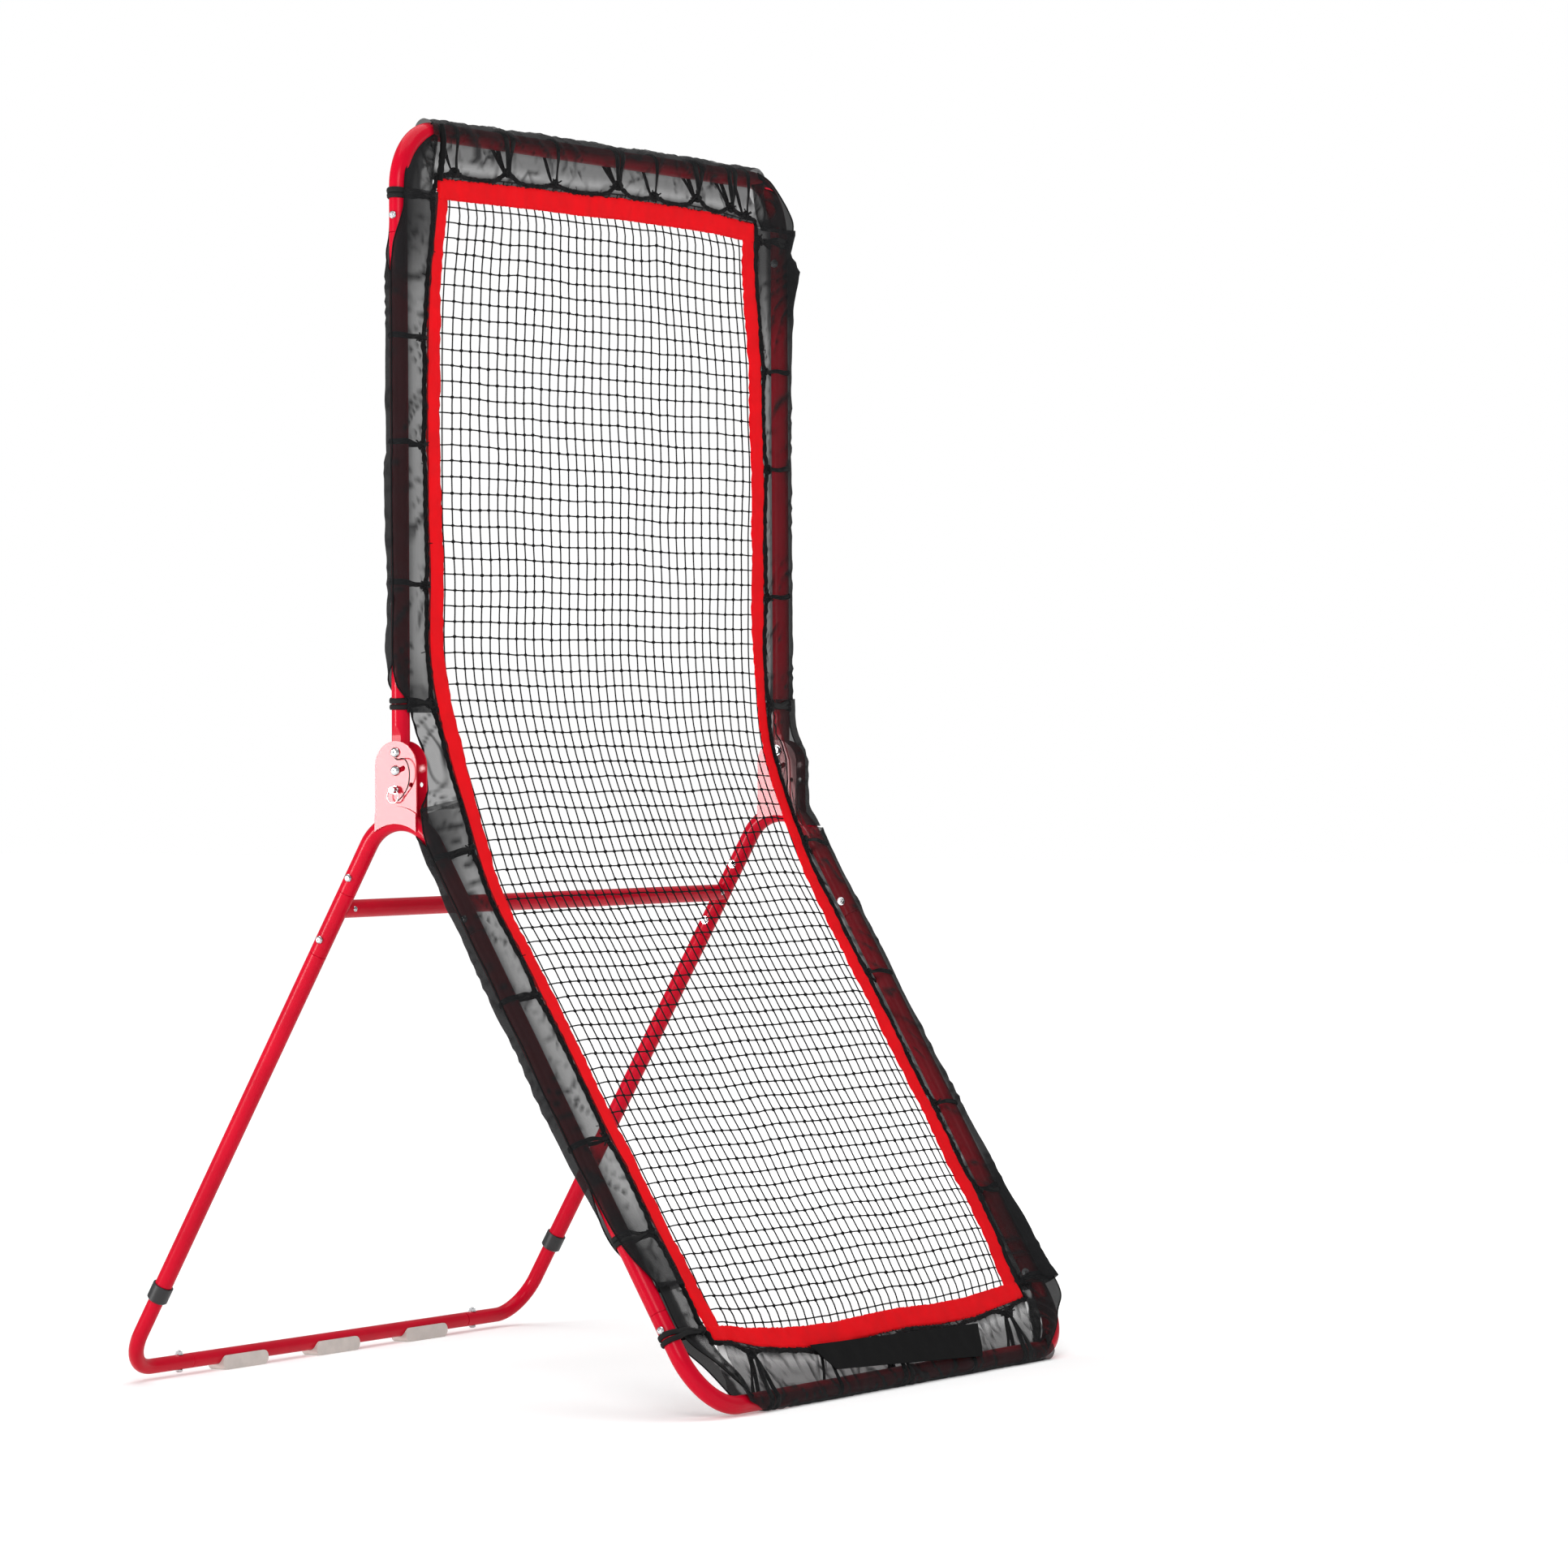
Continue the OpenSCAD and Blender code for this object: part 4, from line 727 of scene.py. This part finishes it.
def creases(p, seed, pitch=0.04, crossed=False):
    """Folds from -1 to 1 that run slantwise over a layer, and how far each point lies in a sharp one."""
    du, dv = run_lengths(p)
    lean = 0.9 * math.cos(seed * 2.3)
    phase = du / pitch + lean * dv / 0.07 + 1.8 * wobble(p, 11, seed)
    some = np.clip(0.45 + 2.4 * wobble(p, 17, seed + 7), 0, 1)
    sharp = ridge(phase, 0.14) * some
    if crossed:
        other = du / (1.6 * pitch) - (0.8 + 0.3 * lean) * dv / 0.05 + 1.6 * wobble(p, 13, seed + 11)
        sharp = np.maximum(sharp, ridge(other, 0.13) * np.clip(0.35 + 2.4 * wobble(p, 15, seed + 19), 0, 1))
    return 0.7 * np.cos(phase * 2 * math.pi) * some + 0.3 * wobble(p, 60, seed + 3), sharp


def normals(p):
    n = np.cross(np.gradient(p, axis=0), np.gradient(p, axis=1))
    return n / (np.linalg.norm(n, axis=-1)[..., None] + 1e-9)


def crumple(p, seed, amount, wrapped=True, crossed=False):
    """Moves a layer's points along its normals by soft folds; none at the hem.

    Returns the points and how much the cloth covers: more where it is gathered on the tube
    and doubled at its creases, and single elsewhere; the extra cover there is also painted shade."""
    folds, crease = creases(p, seed, crossed=crossed)
    t = np.linspace(0, 1, p.shape[1])
    on_tube = np.clip((t - 0.36) / 0.1, 0, 1) * wrapped
    keep = np.clip(t / 0.16, 0, 1) * ((0.45 + 0.55 * np.clip((0.66 - t) / 0.12, 0, 1)) if wrapped else 1)
    # Painted shade: the cover rises at the creases and from the lip round the tube, so that the folds and the
    # tube behind look darker, as if in shade; it also stands for cloth doubled in a crease and gathered on
    # the tube.
    density_and_shade = (0.95 - 0.5 * on_tube) * crease + np.clip((0.12 - t) / 0.05, 0, 0.6)
    if wrapped:
        density_and_shade = density_and_shade + 0.3 * np.clip((t - 0.16) / 0.08, 0, 1) + 0.5 * on_tube
    return p + normals(p) * (amount * folds * keep)[..., None], np.clip(density_and_shade, 0, 1)


def cloth_grid(b, layer):
    p, density_and_shade = layer
    b.density_and_shade.append((b.n, density_and_shade))
    b.grid(p, np.stack(run_lengths(p), -1))


def cloth_area(layers):
    area = 0.0
    for p, _ in layers:
        corner = p[:-1, :-1]
        area += float(np.linalg.norm(np.cross(p[1:, :-1] - corner, p[:-1, 1:] - corner), axis=-1).sum())
    return area


def edge_binding(b, line):
    """A thin rolled hem along a free edge."""
    b.tube(line, 0.0012, 6, ref=HEM_REF)


LAYERS = (("front", 1), ("rear", -1))  # of a cloth, and the side of the net that each is on
FULL = [(0, 180)]  # a layer that ends at the tube's outermost line all along
# By half and side: where the sleeve starts and ends, and by a, the angles at
# which its front and rear layers end, and in mm how far its cloth stands off the
# tube at the angle toward, where the photo shows its outline
SLEEVES = {
    ("upper", -1): dict(
        end=(0.1, 0.955), seed=3,
        front=[(0.103, 76), (0.122, 116), (0.144, 162), (0.17, 180), (0.84, 180), (0.87, 170), (0.902, 136),
               (0.929, 112), (0.96, 116)],
        rear=[(0.1, 60), (0.13, 66), (0.17, 150), (0.182, 180), (0.82, 180), (0.845, 140), (0.87, 90),
              (0.96, 70)],
        swell=[(0.1, 0), (0.17, 2), (0.204, 7), (0.276, 2), (0.34, 3), (0.404, 6), (0.507, 7), (0.523, 3),
               (0.629, 4), (0.735, 3), (0.819, 4), (0.845, 1), (0.96, 0)], toward=235),
    ("lower", -1): dict(
        end=(0.066, 0.95), seed=9,
        front=[(0.066, 130), (0.107, 172), (0.13, 180), (0.79, 180), (0.818, 176), (0.866, 161), (0.894, 147),
               (0.918, 122), (0.953, 64)],
        rear=[(0.066, 60), (0.1, 110), (0.13, 180), (0.76, 180), (0.8, 150), (0.84, 110), (0.88, 70),
              (0.953, 60)],
        swell=[(0.066, 0), (0.15, 6), (0.177, 3), (0.234, 9), (0.282, 6), (0.379, 10), (0.498, 8),
               (0.617, 11), (0.753, 6), (0.82, 2), (0.953, 0)], toward=238),
    ("upper", 1): dict(
        end=(0.125, 0.975), seed=15,
        front=FULL, rear=FULL,
        swell=[(0.12, 3), (0.511, 2), (0.731, 3), (0.805, 6), (0.849, 9), (0.885, 17), (0.9, 19), (0.93, 3),
               (0.95, 7), (0.966, 11), (1.0, 8)], toward=121),
    ("lower", 1): dict(
        end=(0.125, 1.045), seed=21,
        front=FULL, rear=FULL,
        swell=[(0.12, 3), (0.232, 1), (0.328, 3), (0.487, 2), (0.74, 8), (0.885, 13), (0.949, 17),
               (1.017, 20), (1.045, 24), (1.067, 24)], toward=118),
}


def side_cloth(half_name, side):
    """The front and rear layers of a side tube's sleeve."""
    spec = SLEEVES[half_name, side]
    low = half_name == "lower"
    along = np.arange(spec["end"][0], spec["end"][1] + 0.004, 0.0085)
    # Darker towards the sleeve's ends: the cloth's cover is raised there.
    more_cover = 0.45 * np.clip((along - 0.78) / 0.12, 0, 1) + 0.25 * np.clip((0.2 - along) / 0.08, 0, 1)
    layers = []
    for k, (layer, sign) in enumerate(LAYERS):
        rows = []
        for a in along:
            s = (-1 if low else 1) * float(s_of(a))
            v, edge = float(net_v(a)), float(inset(side, s))
            uv = layer_path((edge + WEB_GAP + HEM_IN, v + sign * HEM_N),
                            (edge - 0.5 * float(pull(s)) + 0.001, v + sign * LIP_N),
                            table(spec[layer], a), table(spec["swell"], a) * 0.001,
                            sign * spec["toward"], sign)
            rows.append(half(low, side * (HALF_W - uv[:, 0]), np.full(len(uv), a), uv[:, 1]))
        p = np.array(rows)
        p[..., 2] += 0.002 * np.sin(along * 47 + spec["seed"])[:, None] * np.linspace(0, 1, p.shape[1])
        p, density_and_shade = crumple(p, spec["seed"] + 40 * k, sign * 0.0034)
        layers.append((p, np.clip(density_and_shade + more_cover[:, None], 0, 1)))
    return layers


def spread(hem, free, over, band, seed, sign):
    """A layer between two lines, perhaps over a third, with folds that run across it.

    band is where it is bunched: as shares of the rows, its place at the hem, its
    place at the free edge, and its width."""
    t = np.linspace(0, 1, 26)
    share = t[:, None]
    p = hem[:, None] * (1 - share) + free[:, None] * share
    if over is not None:
        low, high = np.clip(share / 0.6, 0, 1), np.clip((share - 0.6) / 0.4, 0, 1)
        p = hem[:, None] * (1 - low) + over[:, None] * (low - high) + free[:, None] * high
    folds, crease = creases(p, seed, 0.03, crossed=True)
    lift = sign * (0.0035 * folds + 0.00275) * np.sin(t * math.pi) ** 0.7
    # Painted shade: the cover rises at the creases and where the panel runs over the tube, so that they look
    # darker; it also stands for cloth doubled at a crease. The cover is also raised all over the panel and at
    # its hem.
    density_and_shade = 0.9 * crease + 0.38 + np.clip(0.6 - 6 * t, 0, 1) + 0.85 * np.clip((t - 0.42) / 0.15, 0, 1)
    if band:
        at_hem, at_edge, width = band
        row = np.linspace(0, 1, len(p))[:, None] - at_hem - (at_edge - at_hem) * t
        density_and_shade = density_and_shade + 1.2 * np.exp(-((row / (width * (0.5 + t))) ** 2))
    return p + normals(p) * lift[..., None], np.clip(density_and_shade, 0, 1)


def plane_line(low, side, points, n=60):
    """A smooth line through points (u, a, v) of one half."""
    return smooth_path([half(low, side * (HALF_W - u), a, v) for u, a, v in points], n)


def corner_panels(half_name, side):
    """The two layers that span a corner, between its free edge and the webbing."""
    low = half_name == "lower"
    corner = CORNERS[half_name, side]
    layers = []
    for k, (_, sign) in enumerate(LAYERS):
        seam = [(u, a, FRONT + sign * 0.001) for u, a in corner["seam"]]
        seam[-1] = (*corner["seam"][-1], sign * 0.001)  # it ends in the tubes' plane
        over = None
        if k == 0 and "over" in corner:
            over = resample(plane_line(low, side, [(u, a, 0.0195) for u, a in corner["over"]]), 34)
        hem, free = (resample(plane_line(low, side, q), 34) for q in (seam, corner["free"][k]))
        seed = SLEEVES[half_name, side]["seed"] + 70 + 9 * k
        layers.append(spread(hem, free, over, corner.get("band"), seed, sign))
    return layers


def finish_cloth(name, layers, cad, lines=(), fold=None):
    """The sleeve and its hems as objects, and its flat size."""
    b = Builder()
    for layer in layers:
        cloth_grid(b, layer)
    o = b.done(name, MESH)
    if lines:
        hem = Builder()
        for line in lines:
            edge_binding(hem, line)
        if fold is not None:
            hem.tube(fold, 0.005 + 0.003 * np.abs(wobble(fold, 90, 3)), 7, ref=HEM_REF)
        hem.done(f"{name}_hem", BINDING).parent = o
    length = max(float(arc_lengths(p[:, p.shape[1] // 2])[-1]) for p, _ in layers)
    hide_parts(cad)
    return o, (round(length, 3), round(cloth_area(layers) / length, 3))


# By half and side: the line where a corner's cloth is sewn to the webbing, as
# (u, a), the free edges of its front and rear layers, as (u, a, v), and where it
# has them, a line that its front layer runs over, a bunched band and a thick fold
CORNERS = {
    ("upper", -1): dict(
        fold=[(0.098, 0.978, 0.0135), (0.1, 1.01, 0.0175), (0.099, 1.045, 0.0215), (0.1, 1.07, 0.0165)],
        seam=[(0.078, 0.945), (0.08, 0.965), (0.083, 0.984), (0.088, 1.012), (0.096, 1.045), (0.104, 1.0588)],
        free=[[(-0.006, 0.945, 0.0165), (-0.003, 0.979, 0.0165), (0.012, 1.003, 0.012), (0.036, 1.03, 0.008),
               (0.066, 1.056, 0.01), (0.089, 1.074, 0.0075)],
              [(0.008, 0.945, -0.0165), (0.012, 0.979, -0.0155), (0.022, 1.003, -0.012), (0.04, 1.03, -0.008),
               (0.068, 1.056, -0.01), (0.089, 1.072, -0.009)]]),
    ("upper", 1): dict(
        seam=[(0.08, 0.968), (0.084, 0.978), (0.094, 0.99), (0.102, 1.015), (0.11, 1.045), (0.116, 1.0588)],
        over=[(0.0004, 0.968), (0.006, 0.993), (0.0212, 1.0204), (0.0441, 1.0417), (0.0724, 1.0549),
              (0.0913, 1.0584)],
        band=(0.05, 0.34, 0.11),
        free=[[(-0.0285, 0.966, 0.012), (-0.023, 0.989, 0.016), (-0.001, 1.01, 0.019), (0.015, 1.0245, 0.019),
               (0.036, 1.041, 0.019), (0.058, 1.056, 0.0185), (0.078, 1.064, 0.0175), (0.095, 1.07, 0.0145)],
              [(-0.0185, 0.968, 0.0), (-0.01, 0.988, -0.012), (0.008, 1.017, -0.0165),
               (0.028, 1.039, -0.0165), (0.05, 1.06, -0.0165), (0.092, 1.0745, -0.009)]]),
    ("lower", -1): dict(
        seam=[(0.085, 0.94), (0.087, 1.0), (0.09, 1.05), (0.1, 1.08), (0.128, 1.12), (0.15, 1.16014)],
        free=[[(0.006, 0.94, 0.0185), (0.0054, 0.9727, 0.0185), (0.0036, 1.0, 0.0185),
               (0.0098, 1.0286, 0.0165), (0.0345, 1.0553, 0.0125), (0.0728, 1.0869, 0.0125),
               (0.1061, 1.1251, 0.0135), (0.1285, 1.1553, 0.0165)],
              [(0.016, 0.94, -0.009), (0.02, 0.975, -0.008), (0.018, 1.01, -0.008), (0.032, 1.05, -0.006),
               (0.07, 1.092, -0.006), (0.122, 1.15, -0.014)]]),
    ("lower", 1): dict(
        over=[(0.002, 1.035), (0.004, 1.06), (0.021, 1.0903), (0.041, 1.119), (0.065, 1.1387),
              (0.0955, 1.148)],
        seam=[(0.078, 1.035), (0.08, 1.06), (0.084, 1.083), (0.1, 1.1), (0.114, 1.13), (0.124, 1.16014)],
        band=(0.3, 0.5, 0.1),
        free=[[(-0.034, 1.035, 0.02), (-0.04, 1.056, 0.017), (-0.03, 1.076, 0.0175), (0.006, 1.1, 0.019),
               (0.032, 1.124, 0.0195), (0.06, 1.143, 0.0195), (0.097, 1.166, 0.0165)],
              [(-0.03, 1.035, -0.002), (-0.028, 1.052, -0.008), (-0.008, 1.072, -0.014),
               (0.012, 1.098, -0.0175), (0.035, 1.125, -0.0175), (0.06, 1.145, -0.0175),
               (0.1, 1.17, -0.012)]]),
}

for half_name, side in SLEEVES:
    name = f"{dict(SIDES)[side]}_{half_name}"
    low = half_name == "lower"
    fold = CORNERS[half_name, side].get("fold")
    layers, panels = side_cloth(half_name, side), corner_panels(half_name, side)
    lines = [resample(p[:, -1], 30) for p, _ in panels]
    if side < 0:
        lines = [resample(p[:, -1], 90) for p, _ in layers] + lines
    if fold:
        fold = plane_line(low, side, fold, 40)
    o, flat = finish_cloth(f"{name}_mesh_sleeve", layers + panels, f"{name}_sleeve", lines, fold)
    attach(o, "stand" if low else "upper_frame")


# The same for the two end tubes, by x
END_SLEEVES = {
    "upper": dict(
        x=(-0.519, 0.516), bar=TOP_BAR, seed=33, toward=180,
        front=FULL, rear=FULL,
        swell=[(-0.51, 1), (-0.46, 3), (-0.4, 1.5), (-0.33, 4), (-0.27, 2), (-0.2, 5), (-0.12, 3), (-0.02, 5),
               (0.06, 2), (0.15, 5), (0.25, 3.5), (0.33, 5), (0.4, 2), (0.5, 3)]),
    "lower": dict(
        x=(-0.488, 0.514), bar=LOW_BAR, seed=51, toward=160,
        front=[(-0.49, 96), (-0.47, 122), (-0.437, 168), (-0.34, 178), (-0.31, 180)],
        rear=[(-0.49, 70), (-0.44, 90), (-0.33, 170), (-0.31, 180)],
        swell=[(-0.49, 0), (-0.3, 1.5), (-0.2, 3), (-0.1, 1.5), (0, 3), (0.12, 2), (0.25, 4), (0.33, 2),
               (0.42, 5), (0.5, 3)]),
}


def end_cloth(half_name):
    """The front and rear layers of an end tube's sleeve."""
    spec = END_SLEEVES[half_name]
    low = half_name == "lower"
    x = np.linspace(*spec["x"], 128)
    edges = spec["bar"] - a_of(warp(x, LOW_S + WEB_GAP if low else TOP_S - WEB_GAP))
    layers = []
    for k, (layer, sign) in enumerate(LAYERS):
        rows = []
        for q, edge in zip(x, edges):
            loose = table(spec["swell"], q) * 0.001 + 0.0007 * math.sin(q * 190 + 2 * math.sin(q * 37))
            uv = layer_path((edge + HEM_IN, FRONT + sign * HEM_N), (edge - 0.011, FRONT + sign * 0.0064),
                            table(spec[layer], q), loose, spec["toward"], sign)
            rows.append(half(low, np.full(len(uv), q), spec["bar"] - uv[:, 0], uv[:, 1]))
        p, density_and_shade = crumple(np.array(rows), spec["seed"] + 40 * k, sign * 0.0036, crossed=k == 0)
        p[..., 2] = np.maximum(p[..., 2], FLOOR_GAP + 0.0001)
        layers.append((p, density_and_shade))
    return layers


for half_name, (name, body) in (("upper", ("top", "upper_frame")), ("lower", ("bottom", "stand"))):
    o, flat = finish_cloth(f"{name}_mesh_sleeve", end_cloth(half_name), f"{name}_sleeve")
    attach(o, body)

# A plain patch that is sewn on the bottom sleeve: its corners as (x, a)
PATCH = [(-0.252, 1.09), (0.292, 1.102), (0.26, 1.161), (-0.21, 1.139)]
PATCH_W, PATCH_H, PATCH_T = 0.52, 0.055, 0.0011
f, g = np.meshgrid(np.linspace(0, 1, 90), np.linspace(0, 1, 12), indexing="ij")
c = np.array(PATCH)[:, :, None, None]
x, a = (c[0] * (1 - f) + c[1] * f) * (1 - g) + (c[3] * (1 - f) + c[2] * f) * g
v = 0.0262 - 0.0022 * np.clip((a - 1.145) / 0.02, 0, 1) + 0.0012 * wobble(pts(x, a, 0 * x), 26, 4)
uv = np.stack([f * PATCH_W, g * PATCH_H], -1)
b = Builder()
b.grid(half(True, x, a, v), uv)
b.grid(half(True, x, a, v - PATCH_T)[:, ::-1], uv)
patch = b.done("bottom_patch", surface("patch", srgb(8, 8, 9), 0.8, 0.6, 60, (1200, 0.4, 0.0003), spec=0.15))
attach(patch, "stand")

# ---------------------------------------------------- cloth past the hinges
# The left flap's free edge, as (s, u, n), and the front of the right one's wrap
# round the hinge plates, as (z, y)
LEFT_EDGE = [(-0.068, -0.012, -0.024), (-0.0567, -0.006, -0.024), (-0.045, 0.008, -0.022),
             (-0.03, 0.021, -0.024), (-0.01, 0.029, -0.026), (0.01, 0.03, -0.026), (0.035, 0.027, -0.02),
             (0.062, 0.015, -0.018), (0.0926, 0.005, -0.0145), (0.104, 0.002, -0.0125)]
RIGHT_WRAP = [(0.9, -0.092), (0.915, -0.081), (0.93, -0.0715), (0.945, -0.0605), (0.955, -0.052),
              (0.965, -0.0475), (1.045, -0.0465), (1.06, -0.041), (1.075, -0.034), (1.09, -0.027),
              (1.11, -0.0215), (1.13, -0.0195), (1.17, -0.018)]


def left_flap():
    s = np.linspace(-0.068, 0.104, 34)
    at, u, n = np.array(LEFT_EDGE).T
    edge, u, n = inset(-1, s), np.interp(s, at, u), np.interp(s, at, n)
    layers = []
    for _, sign in LAYERS:
        hem = net(-HALF_W + edge + WEB_GAP + HEM_IN, s, sign * HEM_N)
        lip = net(-HALF_W + edge, s, sign * LIP_N)
        free = net(-HALF_W + u, s, n + sign * 0.0006)
        p = np.array([resample(row, 30) for row in zip(hem, lip, free)])
        layers.append(crumple(p, 61 + 8 * sign, sign * 0.0028, False))
    return layers


def right_flap():
    s = np.linspace(-0.118, 0.118, 46)
    z, y = np.array(RIGHT_WRAP).T
    front, rear = [], []
    for q, edge in zip(s, inset(1, s)):
        hem = net(HALF_W - edge - WEB_GAP - HEM_IN, q, [HEM_N, -HEM_N])
        lip = net(HALF_W - edge, q, [LIP_N, -LIP_N])
        level = float(lip[0][2])
        near = STAND_Y + float(np.interp(level, z, y))
        lift = level + 0.002 * math.sin(q * 60)
        wrap = [(HALF_W - 0.02, near - 0.002, level), (HALF_W, near - 0.0035, lift),
                (HALF_W + 0.014, near - 0.002, lift), (HALF_W + 0.0195, near + 0.004, level),
                (HALF_W + 0.021, near + 0.016, level)]
        front.append(resample(smooth_path([hem[0], lip[0], *wrap], 60), 40))
        rear.append(resample([hem[1], lip[1], (HALF_W - 0.021, near + 0.022, level)], 24))
    return [crumple(np.array(front), 81, 0.0026), crumple(np.array(rear), 97, -0.0026, False)]


for name, layers in (("left", left_flap()), ("right", right_flap())):
    b = Builder()
    for layer in layers:
        cloth_grid(b, layer)
    for p, _ in layers:
        edge_binding(b, p[:, -1])
    flap = b.done(f"{name}_hinge_flap", MESH)
    run = float(arc_lengths(layers[0][0][:, 10])[-1])
    bend(flap)
    flat = (round(run, 3), round(cloth_area(layers) / run, 3))

# ------------------------------------------------------------------- stage
FLOOR = surface("pale_floor", srgb(243, 243, 243), 0.95, 0.985, 1.3, (60, 0.02, 0.0002), rough_by=0.03)
floor_shader = FLOOR.node_tree.nodes["Principled BSDF"]
floor_shader.inputs["Emission Color"].default_value = (1, 1, 1, 1)
# The floor glows a little more away from the object, so that it stays white to the horizon
place = add(FLOOR, "ShaderNodeTexCoord")
away = add(FLOOR, "ShaderNodeVectorMath", operation="LENGTH")
link(FLOOR, place.outputs["Object"], away.inputs[0])
glow = map_range(FLOOR, away.outputs["Value"], 1.2, 4.5, 0.2, 0.72)
link(FLOOR, glow, floor_shader.inputs["Emission Strength"])
reach = 40.0
corners = np.array([[-reach, -reach, 0], [reach, -reach, 0], [reach, reach, 0], [-reach, reach, 0]])
floor = make("floor", corners, [np.array([[0, 1, 2, 3]])], FLOOR, smooth=False)

# A white room that lights the object softly: the lamps do the rest
world = bpy.data.worlds.new("studio")
bpy.context.scene.world = world
world.use_nodes = True
tree = world.node_tree
seen, fill = tree.nodes["Background"], tree.nodes.new("ShaderNodeBackground")
for background, strength in ((seen, 1.0), (fill, 0.42)):
    background.inputs["Color"].default_value = (1, 1, 1, 1)
    background.inputs["Strength"].default_value = strength
rays = tree.nodes.new("ShaderNodeLightPath")
mix = tree.nodes.new("ShaderNodeMixShader")
tree.links.new(rays.outputs["Is Camera Ray"], mix.inputs[0])
tree.links.new(fill.outputs[0], mix.inputs[1])
tree.links.new(seen.outputs[0], mix.inputs[2])
tree.links.new(mix.outputs[0], tree.nodes["World Output"].inputs["Surface"])


def softbox(name, place, aim, size, power):
    d = bpy.data.lights.new(name, "AREA")
    d.shape, d.size, d.size_y, d.energy = "RECTANGLE", size[0], size[1], power
    o = bpy.data.objects.new(name, d)
    bpy.context.scene.collection.objects.link(o)
    o.location = place
    o.rotation_mode = "QUATERNION"
    o.rotation_quaternion = (Vector(aim) - Vector(place)).to_track_quat("-Z", "Y")


softbox("key", (-4.6, -3.0, 3.4), (0, 0, 0.9), (2.2, 2.2), 115)
softbox("glare", (-5.5, 3.55, 1.06), (0, 0, 1.06), (1.4, 1.4), 200)
softbox("top", (0.3, 0.2, 5.2), (0, 0, 0), (5, 5), 170)
bpy.context.scene.view_settings.view_transform = "Standard"
